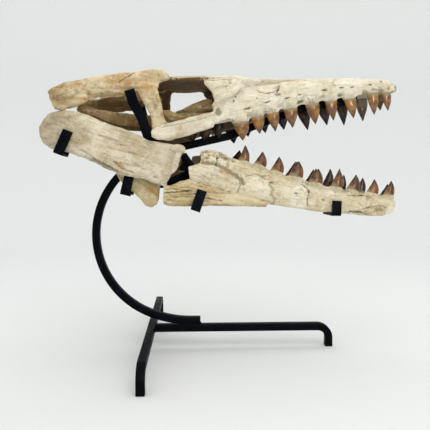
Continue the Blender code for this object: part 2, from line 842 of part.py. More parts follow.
def steel_fittings(finish):
    """The bars and straps that are bent to the skull and lean with it."""
    pieces = [midline_bar("stand_jaw_bar", JAW_BAR, finish), midline_bar("stand_rear_bar", REAR_BAR, finish)]
    broad = broad_side(FRONT_HOOK)
    for side in (RIGHT, LEFT):
        hinge = HINGE_HOOK._replace(x=HINGE_HOOK.x + ANGULAR_SHIFT[side])
        for place, hook in (("rear", REAR_HOOK[side]), ("hinge", hinge), ("middle", MIDDLE_HOOK)):
            pieces.append(hook_on_arm(f"stand_hook_{place}_{SIDE_NAMES[side]}", hook, side, finish))
        front = grip_path(FRONT_HOOK, side)
        pieces.append(strap("stand_hook_front_" + SIDE_NAMES[side], front, broad, finish))
        path = [(x, side * y, z) for x, y, z in CRANIUM_STRAP]
        pieces.append(strap(f"stand_cranium_strap_{SIDE_NAMES[side]}", path, (1, 0, 0.4), finish))
    return pieces


def build():
    """Makes every piece, leans the skull with what is bent to fit it, and centres the model."""
    bone = material("fossil_bone", (0.72, 0.64, 0.48), 0.75)
    steel = material("blackened_steel", (0.012, 0.016, 0.02), 0.45)
    centre = bpy.data.objects.new("model_centre", None)
    lean = bpy.data.objects.new("skull_lean", None)
    for empty in (centre, lean):
        bpy.context.scene.collection.objects.link(empty)
    centre.location = (ORIGIN[0] * MM, ORIGIN[1] * MM, 0)
    lean.parent = centre
    pivot = Matrix.Translation((0, 0, ROLL_HEIGHT * MM))
    lean.matrix_basis = pivot @ Matrix.Rotation(-SKULL_ROLL, 4, "X") @ pivot.inverted()
    for piece in [*cranium(bone), *lower_jaw(bone), *steel_fittings(steel)]:
        piece.parent = lean
    for piece in (cross_bar(steel), long_bar(steel), post(steel)):
        piece.parent = centre


for old in list(bpy.data.objects):
    bpy.data.objects.remove(old)
build()
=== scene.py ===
"""A mosasaur skull fossil and its bent steel stand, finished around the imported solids.

Sizes are in millimetres in the skull's own frame: x runs to the tip of the snout, y to the animal's left and
z up, before the crushed skull is leaned to its right. Meshes are in metres in the row frame.
"""

import itertools
import logging
import math
from collections.abc import Iterator
from contextlib import contextmanager
from dataclasses import dataclass, field
from enum import Enum

import bmesh
import bpy
import numpy as np
from mathutils import Matrix, Vector
from mathutils.bvhtree import BVHTree


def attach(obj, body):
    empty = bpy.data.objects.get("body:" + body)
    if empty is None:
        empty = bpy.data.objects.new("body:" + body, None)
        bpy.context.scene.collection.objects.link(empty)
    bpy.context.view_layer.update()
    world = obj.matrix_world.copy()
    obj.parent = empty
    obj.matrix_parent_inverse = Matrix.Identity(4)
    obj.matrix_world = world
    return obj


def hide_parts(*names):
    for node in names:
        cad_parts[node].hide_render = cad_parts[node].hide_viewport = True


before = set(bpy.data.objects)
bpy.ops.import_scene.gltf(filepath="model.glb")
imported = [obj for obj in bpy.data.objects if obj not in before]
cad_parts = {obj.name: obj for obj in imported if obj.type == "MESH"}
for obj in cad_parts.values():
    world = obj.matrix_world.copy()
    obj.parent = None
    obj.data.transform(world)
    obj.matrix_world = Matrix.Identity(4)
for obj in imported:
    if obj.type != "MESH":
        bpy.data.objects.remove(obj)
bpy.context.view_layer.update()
log = logging.getLogger("mosasaur")

Pair = tuple[float, float]
Point = tuple[float, float, float]

MM = 0.001
LEAN = math.radians(2.0)
LEAN_HEIGHT = 400.0
SHIFT = np.array((-19.2, -10.25, 0.0))
BODY = "root"
VOXEL = 1.2  # the size of a bone's faces, in millimetres
SWELL = 1.8  # how far each bone is swollen before the bones are fused, in millimetres
SHARP = math.radians(35)  # edges steeper than this stay sharp on the steel


class Side(Enum):
    """A side of the skull, valued as the sign of its y."""

    RIGHT = -1
    LEFT = 1

    @property
    def word(self) -> str:
        """The side's name as the pieces spell it."""
        return self.name.lower()


class Mark(Enum):
    """What a feature leaves on the bone for its finish to read, named for the mesh attribute."""

    HOLLOW = "hollow"  # dark matrix in a crack, pit or socket, and painted shade in recesses and in the gaps between bones
    RUST = "rust"  # an orange iron stain
    OLIVE = "olive"  # grey-olive filler and matrix
    INNER = "inner"  # painted shade: brown on faces turned inward or down, and brown patches and cracks where a detail lays it
    WORN = "worn"  # rubbed, paler edges


# ---------------------------------------------------------------- frames


def to_skull(points: np.ndarray) -> np.ndarray:
    """Turns row-frame metres into millimetres in the skull's unleaned frame.

    Args:
        points: one row for each point.

    Returns:
        The same points.
    """
    x, y, z = (points / MM - SHIFT).T
    z = z - LEAN_HEIGHT
    upright = (x, y * math.cos(LEAN) - z * math.sin(LEAN), y * math.sin(LEAN) + z * math.cos(LEAN) + LEAN_HEIGHT)
    return np.stack(upright, 1)


def to_row(points: np.ndarray) -> np.ndarray:
    """Turns the skull's unleaned millimetres into row-frame metres.

    Args:
        points: one row for each point.

    Returns:
        The same points.
    """
    x, y, z = points.T
    z = z - LEAN_HEIGHT
    leaned = (x, y * math.cos(LEAN) + z * math.sin(LEAN), z * math.cos(LEAN) - y * math.sin(LEAN) + LEAN_HEIGHT)
    return (np.stack(leaned, 1) + SHIFT) * MM


# ---------------------------------------------------------------- random fields


def chance(cell: np.ndarray, seed: int) -> np.ndarray:
    """A fixed random number from 0 to 1 for each cell of a grid.

    Args:
        cell: whole-numbered x, y and z, one row for each cell.
        seed: picks the field.

    Returns:
        One number for each cell.
    """
    x, y, z = cell.astype(np.int64).T
    h = (x * 73856093) ^ (y * 19349663) ^ (z * 83492791) ^ (seed * 2654435761)
    h = ((h ^ (h >> 13)) * 1274126177) & 0xFFFFFFFF
    h = ((h ^ (h >> 15)) * 2246822519) & 0xFFFFFFFF
    return (h ^ (h >> 16)) / 4294967296.0


def spot(cell: np.ndarray, seed: int) -> np.ndarray:
    """A random point from (0, 0, 0) to (1, 1, 1) for each cell."""
    return np.stack([chance(cell, seed + k) for k in range(3)], 1)


def noise(points: np.ndarray, size: float, seed: int) -> np.ndarray:
    """Smooth gradient noise from about -1 to 1.

    Args:
        points: positions in millimetres.
        size: the distance over which it changes, in millimetres.
        seed: picks the field.

    Returns:
        One value for each point.
    """
    p = points / size
    base = np.floor(p)
    f = p - base
    fade = f * f * f * (f * (f * 6 - 15) + 10)
    total = np.zeros(len(p))
    for corner in itertools.product((0, 1), repeat=3):
        slope = spot(base + corner, seed) * 2 - 1
        weight = np.prod(np.where(np.array(corner), fade, 1 - fade), axis=1)
        total += weight * np.sum(slope * (f - corner), axis=1)
    return total * 1.9


def fractal(points: np.ndarray, size: float, seed: int, octaves: int = 3) -> np.ndarray:
    """Several octaves of noise, each half as large and half as strong as the last."""
    return sum(noise(points, size / 2**k, seed + 11 * k) / 2**k for k in range(octaves))


def cells(points: np.ndarray, size: float, seed: int) -> tuple[np.ndarray, np.ndarray, np.ndarray]:
    """Scattered sites, for crack nets and pores.

    Args:
        points: positions in millimetres.
        size: the distance between sites, in millimetres.
        seed: picks the sites.

    Returns:
        The distance to the nearest site, the distance to the next one, both as shares of size, and a random
        number that belongs to the nearest.
    """
    p = points / size
    base = np.floor(p)
    near, second, pick = np.full(len(p), 9.0), np.full(len(p), 9.0), np.zeros(len(p))
    for step in itertools.product((-1, 0, 1), repeat=3):
        cell = base + step
        far = np.linalg.norm(p - cell - spot(cell, seed), axis=1)
        closer = far < near
        second = np.where(closer, near, np.minimum(second, far))
        pick = np.where(closer, chance(cell, seed + 7), pick)
        near = np.where(closer, far, near)
    return near, second, pick


def ease(low: float, high: float, value: np.ndarray) -> np.ndarray:
    """A smooth step from 0 at low to 1 at high."""
    t = np.clip((value - low) / (high - low), 0, 1)
    return t * t * (3 - 2 * t)


# ---------------------------------------------------------------- nodes


def linear(code: str) -> tuple[float, float, float, float]:
    """An sRGB hex colour as linear red, green, blue and alpha."""
    parts = [int(code[i : i + 2], 16) / 255 for i in (1, 3, 5)]
    return (*[c / 12.92 if c <= 0.04045 else ((c + 0.055) / 1.055) ** 2.4 for c in parts], 1.0)


def node(tree: bpy.types.NodeTree, kind: str, inputs: dict | None = None, **settings: object) -> bpy.types.Node:
    """Adds a node.

    Args:
        tree: where it goes.
        kind: its bl_idname.
        inputs: socket name or index to a value, or to an output socket to link from.
        settings: properties of the node itself.

    Returns:
        The node.
    """
    made = tree.nodes.new(kind)
    for name, value in settings.items():
        setattr(made, name, value)
    for key, value in (inputs or {}).items():
        socket = made.inputs[key]
        if isinstance(value, bpy.types.NodeSocket):
            tree.links.new(value, socket)
        else:
            socket.default_value = value
    return made


class Wiring:
    """A node tree while it is wired, with the outputs that later nodes ask for by name."""

    def __init__(self, tree: bpy.types.NodeTree, **outputs: bpy.types.NodeSocket) -> None:
        """Takes a tree and the first outputs, by name."""
        self.tree = tree
        self.outputs = outputs

    def add(self, name: str, kind: str, inputs: dict, output: int | str = 0, **settings: object) -> bpy.types.Node:
        """Adds a node and keeps one of its outputs.

        Args:
            name: what later nodes call the output.
            kind: the node's bl_idname.
            inputs: socket name or index to a value, or to the name of an output to link from.
            output: which of the node's outputs is kept.
            settings: properties of the node itself.

        Returns:
            The node.
        """
        linked = {key: self.outputs.get(value, value) for key, value in inputs.items() if isinstance(value, str)}
        made = node(self.tree, kind, inputs | linked, **settings)
        self.outputs[name] = made.outputs[output]
        return made

    def work_out(self, *steps: tuple[str, str, object, object]) -> None:
        """Adds a line of sums, each as its name, its operation and the two things it is worked on."""
        for name, operation, first, second in steps:
            self.add(name, "ShaderNodeMath", {0: first, 1: second}, operation=operation)


# ---------------------------------------------------------------- finishes

RANGE = "ShaderNodeMapRange"
SMOOTH = {"interpolation_type": "SMOOTHSTEP"}


@dataclass(frozen=True)
class Coat:
    """A colour laid over the ones before it, where a field of the finish passes from low to high."""

    field: str
    colour: str
    low: float = 0.0
    high: float = 1.0
    strength: float = 1.0


class Finishing(Wiring):
    """A material while its finish is laid. Its outputs are the fields that steer the finish."""

    def __init__(self, name: str, base: str) -> None:
        """Starts a material.

        Args:
            name: its name.
            base: its colour under every coat.
        """
        self.material = bpy.data.materials.new(name)
        self.material.use_nodes = True
        super().__init__(self.material.node_tree)
        self.shader = self.tree.nodes["Principled BSDF"]
        self.colour: object = linear(base)
        self.add("place", "ShaderNodeTexCoord", {}, "Object")

    def sow(self, place: str, **patterns: Point) -> None:
        """Adds patterns of noise over a place, each as its size in millimetres, its detail and its roughness."""
        for name, (size, detail, rough) in patterns.items():
            inputs = {"Vector": place, "Scale": 1 / (size * MM), "Detail": detail, "Roughness": rough}
            self.add(name, "ShaderNodeTexNoise", inputs)

    def lay(self, *coats: Coat) -> None:
        """Lays coats of colour.

        Args:
            coats: the first one lowest. A field that already runs from 0 to 1 is used as it is.
        """
        for coat in coats:
            if (coat.low, coat.high) == (0.0, 1.0):
                share = self.outputs[coat.field]
            else:
                levels = {0: coat.field, 1: coat.low, 2: coat.high, 4: coat.strength}
                share = self.add("share", RANGE, levels, **SMOOTH).outputs[0]
            inputs = {0: share, 6: self.colour, 7: linear(coat.colour)}
            self.colour = node(self.tree, "ShaderNodeMix", inputs, data_type="RGBA").outputs[2]

    def close(self, rough: str, relief: str, strength: float, depth: float, **fixed: float) -> bpy.types.Material:
        """Joins the colour, the roughness and the fine relief to the shader.

        Args:
            rough: the field that is the roughness.
            relief: the field that is the surface's height.
            strength: how strong the relief is.
            depth: how deep it is, in millimetres.
            fixed: the shader's own constants, with _ for a space.

        Returns:
            The material.
        """
        bump = self.add("bump", "ShaderNodeBump", {"Height": relief, "Strength": strength, "Distance": depth * MM})
        joints = {"Base Color": self.colour, "Roughness": self.outputs[rough], "Normal": bump.outputs[0]}
        for socket, source in joints.items():
            self.tree.links.new(source, self.shader.inputs[socket])
        for socket, number in fixed.items():
            self.shader.inputs[socket.replace("_", " ")].default_value = number
        return self.material


@dataclass(frozen=True)
class FossilBone:
    """Phosphatised bone, prepared and left bare: matt and chalky, mottled, with fibres along the bone.

    The eye reads it as old bone by three things: pale compact bone over darker spongy bone, fine grain that
    follows each bone's length, and dark matrix left in every crack and pore.
    """

    name: str
    pale: str
    mid: str
    deep: str
    # the brown that the inner mark lays, mostly painted shade
    inner: str = "#62451C"
    rust: str = "#B07C46"
    # dark matrix in cracks, pores and specks, and painted shade in recesses and between bones
    matrix: str = "#4A3B27"
    olive: str = "#7E7862"
    ochre: str = "#C8A76C"
    chalk: str = "#F2ECDC"
    banding: float = 0.35
    staining: float = 0.3

    def material(self) -> bpy.types.Material:
        """The finish as a node material.

        Returns:
            The material.
        """
        work = Finishing(self.name, self.pale)
        for name in ("grain", *(mark.value for mark in Mark)):
            output = "Vector" if name == "grain" else "Fac"
            work.add(name, "ShaderNodeAttribute", {}, output, attribute_name=name)
        work.add("along", "ShaderNodeMapping", {0: "grain", 3: (0.09, 1.0, 1.0)})
        work.sow("place", broad=(46, 4, 0.55), mottle=(9, 5, 0.65), grit=(3.2, 3, 0.7), speck=(1.9, 3, 0.7))
        work.sow("along", stain=(17, 4, 0.6), fibre=(1.6, 3, 0.65), band=(5, 3, 0.55))
        # a faint net of hairline cracks about 6.5 mm apart, longer along the bone and only in patches
        work.add("wander", "ShaderNodeTexNoise", {"Vector": "place", "Scale": 1 / (9 * MM)}, "Color")
        work.add("bent", "ShaderNodeVectorMath", {0: "along", 1: "wander", 2: (5 * MM,) * 3}, operation="MULTIPLY_ADD")
        sites = {"Vector": "bent", "Scale": 1 / (6.5 * MM)}
        work.add("net", "ShaderNodeTexVoronoi", sites, "Distance", feature="DISTANCE_TO_EDGE")
        work.add("hairline", RANGE, {0: "net", 1: 0.05, 2: 0.01, 4: 0.3}, **SMOOTH)
        work.add("patch", RANGE, {0: "broad", 1: 0.4, 2: 0.6}, **SMOOTH)
        # the brown of the inner mark, mostly painted shade on inward and downward faces, and the rust stains come out
        # uneven, and the roughness follows the mottling
        work.add("brown", RANGE, {0: "mottle", 1: 0.2, 2: 0.55, 3: 0.86, 4: 1.0}, **SMOOTH)
        work.add("cloudy", RANGE, {0: "mottle", 1: 0.3, 2: 0.6, 3: 0.25, 4: 0.9}, **SMOOTH)
        work.add("rough", RANGE, {0: "mottle", 1: 0.3, 2: 0.7, 3: 0.92, 4: 0.74}, **SMOOTH)
        work.work_out(
            ("fine", "MULTIPLY", "hairline", "patch"),
            ("tone", "MULTIPLY", Mark.INNER.value, "brown"),
            ("stains", "MULTIPLY", Mark.RUST.value, "cloudy"),
            ("raised", "ADD", "fibre", "grit"),
            ("relief", "SUBTRACT", "raised", "fine"),
        )
        work.lay(
            Coat("broad", self.mid, 0.36, 0.62),
            Coat("stain", self.ochre, 0.52, 0.72, self.staining),
            Coat("mottle", self.deep, 0.52, 0.74, 0.55),
            Coat("band", self.deep, 0.52, 0.7, self.banding),
            Coat("fibre", self.deep, 0.5, 0.7, 0.5),
            Coat("grit", self.deep, 0.56, 0.72, 0.35),
            Coat("speck", self.matrix, 0.68, 0.8, 0.45),
            Coat("mottle", self.chalk, 0.46, 0.3, 0.4),
            Coat("fine", self.deep),
            Coat(Mark.WORN.value, self.pale),
            # painted shade: brown on inward and downward faces
            Coat("tone", self.inner),
            Coat("stains", self.rust),
            Coat(Mark.OLIVE.value, self.olive),
            # dark matrix in cracks and pores, and painted shade in recesses and between bones
            Coat(Mark.HOLLOW.value, self.matrix),
        )
        return work.close("rough", "relief", 0.9, 0.7, IOR=1.5, Specular_IOR_Level=0.3)


@dataclass(frozen=True)
class ToothEnamel:
    """Fossil tooth enamel, naturally glossy: amber over a pale root collar, darkening to the tip.

    It stands out from the bone by its shine and by fine streaks that run up each crown.
    """

    name: str
    root: str
    body: str
    amber: str
    tip: str
    gloss: float = 0.5
    rise: float = 0.0  # how much higher than usual the pale root shows, as a share of the crown's height
    wedge: float = 0.0  # how much further the pale root climbs the back of the crown, as a share of its height

    def material(self) -> bpy.types.Material:
        """The finish as a node material.

        Returns:
            The material.
        """
        work = Finishing(self.name, self.body)
        for name in ("crown", "fore"):
            work.add(name, "ShaderNodeAttribute", {}, "Fac", attribute_name=name)
        work.add("upright", "ShaderNodeMapping", {0: "place", 3: (1.0, 1.0, 0.14)})
        work.sow("upright", streak=(1.6, 3, 0.6))
        work.sow("place", cloud=(13, 3, 0.55))
        work.add("uneven", RANGE, {0: "streak", 1: 0.3, 2: 0.7, 3: -0.05, 4: 0.05}, **SMOOTH)
        work.add("shift", RANGE, {0: "cloud", 1: 0.3, 2: 0.7, 3: -0.04 - self.rise, 4: 0.04 - self.rise}, **SMOOTH)
        work.work_out(
            ("lean", "MULTIPLY", "fore", self.wedge),
            ("back", "ADD", "lean", "crown"),
            ("edge", "ADD", "crown", "uneven"),
            ("gum", "ADD", "back", "shift"),
        )
        work.add("rough", RANGE, {0: "gum", 1: 0.1, 2: 0.32, 3: 0.6, 4: 0.17}, **SMOOTH)
        work.lay(
            Coat("cloud", self.amber, 0.4, 0.62),
            Coat("edge", self.tip, 0.5, 1.0, 0.9),
            Coat("streak", self.tip, 0.55, 0.75, 0.45),
            Coat("gum", self.root, 0.26, 0.06, 0.85),
        )
        return work.close("rough", "streak", 0.35, 0.2, IOR=1.6, Specular_IOR_Level=self.gloss)


@dataclass(frozen=True)
class BlackenedSteel:
    """Hot-rolled mild steel under satin black paint: nearly black, faintly blue, with soft highlights.

    Fine unevenness breaks the highlight, and rubbed patches show a little greyer.
    """

    name: str
    paint: str
    rubbed: str

    def material(self) -> bpy.types.Material:
        """The finish as a node material.

        Returns:
            The material.
        """
        work = Finishing(self.name, self.paint)
        work.sow("place", cloud=(24, 4, 0.6), grit=(1.1, 3, 0.6))
        work.add("rough", RANGE, {0: "cloud", 1: 0.3, 2: 0.7, 3: 0.4, 4: 0.56}, **SMOOTH)
        work.lay(Coat("cloud", self.rubbed, 0.45, 0.75, 0.8), Coat("grit", self.rubbed, 0.62, 0.8, 0.4))
        return work.close("rough", "grit", 0.35, 0.12, Specular_IOR_Level=0.05)


@dataclass(frozen=True)
class StudioPaper:
    """Matt seamless paper: a pale grey with the faintest fibre."""

    name: str
    colour: str
    fibre: str = "#D0D2D3"

    def material(self) -> bpy.types.Material:
        """The finish as a node material.

        Returns:
            The material.
        """
        work = Finishing(self.name, self.colour)
        work.sow("place", fibre=(3, 2, 0.55))
        work.lay(Coat("fibre", self.fibre, 0.3, 0.7, 0.02))
        work.tree.links.new(work.colour, work.shader.inputs["Base Color"])
        work.shader.inputs["Roughness"].default_value = 0.95
        work.shader.inputs["Specular IOR Level"].default_value = 0.1
        return work.material


SNOUT_BONE = FossilBone("fossil_bone_snout", "#ECE5D2", "#E1D8BF", "#B0A280", banding=0.2, staining=0.16)
JAW_BONE = FossilBone("fossil_bone_jaw", "#F0E9D4", "#DFD3B2", "#A08B62", olive="#8C8058", banding=0.25, staining=0.25)
PLATE_BONE = FossilBone("fossil_bone_plate", "#E2D7BF", "#C8BA9C", "#8A7858", banding=0.6, staining=0.5)
SPLENIAL_BONE = FossilBone("fossil_bone_splenial", "#E2D4AE", "#CCB788", "#745A32", banding=0.75, staining=0.45)
ARCADE_BONE = FossilBone("fossil_bone_arcade", "#DCCCA6", "#C6AD7E", "#8C7050", ochre="#CC9C54", staining=0.85)
ANGULAR_BONE = FossilBone("fossil_bone_angular", "#CDBF96", "#B8A576", "#8A7242", ochre="#BF9846", staining=0.6)
# the bones deep in the skull: a darker copy of the bone, partly painted shade, partly brown matrix stain
PALATE_BONE = FossilBone("fossil_bone_palate", "#B09A6E", "#8E7549", "#5C4724", ochre="#A8763A", staining=0.6)
NEAR_ENAMEL = ToothEnamel("fossil_enamel_amber", "#A68E60", "#6E4720", "#A4702C", "#3A220F")
LOW_ENAMEL = ToothEnamel("fossil_enamel_brown", "#A08A64", "#4E2E10", "#82501C", "#1C100A", 0.34, -0.05, 0.16)
ROOTED_ENAMEL = ToothEnamel("fossil_enamel_rooted", "#7F7864", "#442A16", "#6A4119", "#17100C", 0.35, 0.28)
# the far side's and the palate's crowns: a darker copy of the enamel, partly painted shade, partly darker enamel
DARK_ENAMEL = ToothEnamel("fossil_enamel_dark", "#4A3B29", "#1F140B", "#4C2F16", "#0F0A07", 0.22)
STEEL = BlackenedSteel("painted_steel_black", "#01040A", "#060C16")
PAPER = StudioPaper("studio_paper", "#E3E5E5")


# ---------------------------------------------------------------- mesh tools


def link(name: str, mesh: bpy.types.Mesh) -> bpy.types.Object:
    """Puts a mesh into the scene as an object of that name, at the origin."""
    made = bpy.data.objects.new(name, mesh)
    bpy.context.scene.collection.objects.link(made)
    return made


def settle(made: bpy.types.Object) -> bpy.types.Mesh:
    """Gives an object the plain mesh that its modifiers make, and removes them.

    Args:
        made: the object.

    Returns:
        The new mesh.
    """
    bpy.context.view_layer.update()
    graph = bpy.context.evaluated_depsgraph_get()
    mesh = bpy.data.meshes.new_from_object(made.evaluated_get(graph))
    made.modifiers.clear()
    made.data = mesh
    return mesh


def read(items: bpy.types.bpy_prop_collection, what: str) -> np.ndarray:
    """Reads a vector from every vertex or normal as rows."""
    flat = np.empty(len(items) * 3, np.float32)
    items.foreach_get(what, flat)
    return flat.reshape(-1, 3).astype(float)


def write(mesh: bpy.types.Mesh, points: np.ndarray) -> None:
    """Moves a mesh's vertices."""
    mesh.vertices.foreach_set("co", points.astype(np.float32).ravel())
    mesh.update()


def store(mesh: bpy.types.Mesh, name: str, values: np.ndarray) -> None:
    """Stores a number or a vector at every vertex, as a mesh attribute of that name."""
    kind, what = ("FLOAT", "value") if values.ndim == 1 else ("FLOAT_VECTOR", "vector")
    mesh.attributes.new(name, kind, "POINT").data.foreach_set(what, values.astype(np.float32).ravel())


@contextmanager
def edited(mesh: bpy.types.Mesh) -> Iterator[bmesh.types.BMesh]:
    """Opens a mesh for editing and writes it back at the end.

    Args:
        mesh: the mesh.

    Yields:
        Its editable copy.
    """
    shape = bmesh.new()
    shape.from_mesh(mesh)
    yield shape
    shape.to_mesh(mesh)
    shape.free()


def cad_copy(name: str) -> bpy.types.Mesh:
    """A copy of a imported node's mesh, with its loose triangles merged.

    Args:
        name: the node.

    Returns:
        The copy.
    """
    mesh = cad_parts[name].data.copy()
    mesh.materials.clear()
    with edited(mesh) as shape:
        bmesh.ops.remove_doubles(shape, verts=shape.verts, dist=1e-6)
    return mesh


def lofted(rings: list[np.ndarray], name: str) -> bpy.types.Mesh:
    """A closed mesh through rings of row-frame points, capped at both ends.

    Args:
        rings: as many points in each as in the first.
        name: the mesh's name.

    Returns:
        The mesh.
    """
    mesh = bpy.data.meshes.new(name)
    with edited(mesh) as shape:
        loops = [[shape.verts.new(p) for p in ring] for ring in rings]
        for near, far in zip(loops, loops[1:]):
            for i, j in zip(range(len(near)), [*range(1, len(near)), 0]):
                shape.faces.new((near[i], near[j], far[j], far[i]))
        shape.faces.new(loops[0][::-1])
        shape.faces.new(loops[-1])
        bmesh.ops.recalc_face_normals(shape, faces=shape.faces)
    return mesh


def joined(meshes: list[bpy.types.Mesh], name: str) -> bpy.types.Mesh:
    """One mesh that holds several.

    Args:
        meshes: the meshes.
        name: what the new one is called.

    Returns:
        The new mesh.
    """
    made = bpy.data.meshes.new(name)
    with edited(made) as shape:
        for mesh in meshes:
            shape.from_mesh(mesh)
    return made


def softened(mesh: bpy.types.Mesh, rounds: int) -> bpy.types.Mesh:
    """A smoother copy of a mesh, with the same vertices.

    Args:
        mesh: the mesh.
        rounds: how often it is smoothed.

    Returns:
        The copy.
    """
    made = link("soft", mesh)
    softener = made.modifiers.new("soft", "SMOOTH")
    softener.factor, softener.iterations = 0.5, rounds
    result = settle(made)
    bpy.data.objects.remove(made)
    return result


def even(mesh: bpy.types.Mesh, swell: float = 0.0, soft: int = 0) -> bpy.types.Mesh:
    """A closed mesh of even faces around the closed, perhaps overlapping shells of another.

    Args:
        mesh: the shells.
        swell: how far the result stands outside them, in millimetres.
        soft: rounds of smoothing.

    Returns:
        The new mesh.
    """
    made = link("even", mesh)
    skin = made.modifiers.new("skin", "REMESH")
    skin.mode, skin.voxel_size = "VOXEL", VOXEL * MM
    mesh = settle(made)
    bpy.data.objects.remove(made)
    if swell:
        write(mesh, read(mesh.vertices, "co") + read(mesh.vertex_normals, "vector") * swell * MM)
    return softened(mesh, soft) if soft else mesh


def even_curve(path: np.ndarray, count: int) -> np.ndarray:
    """A path resampled to evenly spaced points, with its corners rounded off.

    Args:
        path: its points, as rows.
        count: how many points the new path has.

    Returns:
        The new path.
    """
    steps = np.concatenate(([0.0], np.cumsum(np.linalg.norm(np.diff(path, axis=0), axis=1))))
    spread = np.linspace(0, steps[-1], count)
    made = np.stack([np.interp(spread, steps, path[:, k]) for k in range(3)], 1)
    for _ in range(5):
        made[1:-1] = (made[:-2] + 2 * made[1:-1] + made[2:]) / 4
    return made


def polyline(paths: list[list[Point]], name: str) -> bpy.types.Mesh:
    """Loose edges along paths.

    Args:
        paths: row-frame points in metres.
        name: the mesh's name.

    Returns:
        The mesh.
    """
    points, edges = [], []
    for path in paths:
        edges += [(i, i + 1) for i in range(len(points), len(points) + len(path) - 1)]
        points += [tuple(p) for p in path]
    mesh = bpy.data.meshes.new(name)
    mesh.from_pydata(points, edges, [])
    return mesh


def grown(name: str, seed: bpy.types.Mesh, tree: bpy.types.NodeTree, values: dict[str, object]) -> bpy.types.Object:
    """Runs a geometry tree on a mesh and keeps the result as a plain mesh.

    Args:
        name: the piece's name.
        seed: what the tree starts from.
        tree: the node group.
        values: its named inputs.

    Returns:
        The piece.
    """
    made = link(name, seed)
    modifier = made.modifiers.new(tree.name, "NODES")
    modifier.node_group = tree
    for socket in tree.interface.items_tree:
        if socket.in_out == "INPUT" and socket.name in values:
            modifier[socket.identifier] = values[socket.name]
    with edited(settle(made)) as shape:
        bmesh.ops.remove_doubles(shape, verts=shape.verts, dist=1e-6)
        bmesh.ops.recalc_face_normals(shape, faces=shape.faces)
    return made


def keep(piece: bpy.types.Object, material: bpy.types.Material, slot: str, *nodes: str) -> bpy.types.Object:
    """Dresses a piece, rides it on the body and lets it stand for CAD nodes.

    Args:
        piece: the finished piece.
        material: its finish, unless it already has one.
        slot: the name of the part's finish that it shows; not used.
        nodes: the nodes it stands for.

    Returns:
        The piece.
    """
    if not piece.data.materials:
        piece.data.materials.append(material)
    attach(piece, BODY)
    if nodes:
        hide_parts(*nodes)
    log.info("%s: %d faces", piece.name, len(piece.data.polygons))
    return piece


def new_tree(name: str, **sockets: str) -> Wiring:
    """A geometry tree with named inputs.

    Args:
        name: the tree's name.
        sockets: input name, with _ for a space, to its type of socket without "NodeSocket".

    Returns:
        The tree, with its inputs as outputs of the same names.
    """
    tree = bpy.data.node_groups.new(name, "GeometryNodeTree")
    tree.interface.new_socket("Geometry", in_out="OUTPUT", socket_type="NodeSocketGeometry")
    for title, kind in {"Geometry": "Geometry", **sockets, "Material": "Material"}.items():
        tree.interface.new_socket(title.replace("_", " "), in_out="INPUT", socket_type="NodeSocket" + kind)
    given = node(tree, "NodeGroupInput")
    return Wiring(tree, **{socket.name: socket for socket in given.outputs if socket.name})


def close_tree(work: Wiring, shape: str) -> bpy.types.NodeTree:
    """Ends a tree in Realize Instances and Set Material.

    Args:
        work: the tree.
        shape: the output that holds its geometry.

    Returns:
        The tree itself.
    """
    work.add("real", "GeometryNodeRealizeInstances", {0: shape})
    work.add("dressed", "GeometryNodeSetMaterial", {"Geometry": "real", "Material": "Material"})
    node(work.tree, "NodeGroupOutput", {0: work.outputs["dressed"]})
    return work.tree


# ---------------------------------------------------------------- teeth


@dataclass(frozen=True)
class Crown:
    """A tooth crown: where it leaves the bone, its tip, and its length along the jaw."""

    base_x: float
    base_z: float
    tip_x: float
    tip_z: float
    chord: float
    broken: float = 0.0  # how much of a broken tip is gone, in millimetres


PLUMP = 1.12  # how much longer along the jaw a crown is than its solid
ROOT_SHARE = 0.3  # how far a crown's root runs into the bone, as a share of its height
FLATNESS = 0.72  # a crown's width across the jaw, as a share of its length along it
INWARD = 0.97  # how far from the midline a tip is, as a share of its base's distance
OUTLINE = (  # a crown's half-width at shares of its length, from the end of its root to its tip
    (0.05, 0.36),
    (0.12, 0.45),
    (0.24, 0.49),
    (0.42, 0.445),
    (0.615, 0.35),
    (0.79, 0.22),
    (0.89, 0.13),
    (0.96, 0.062),
    (0.99, 0.028),
)


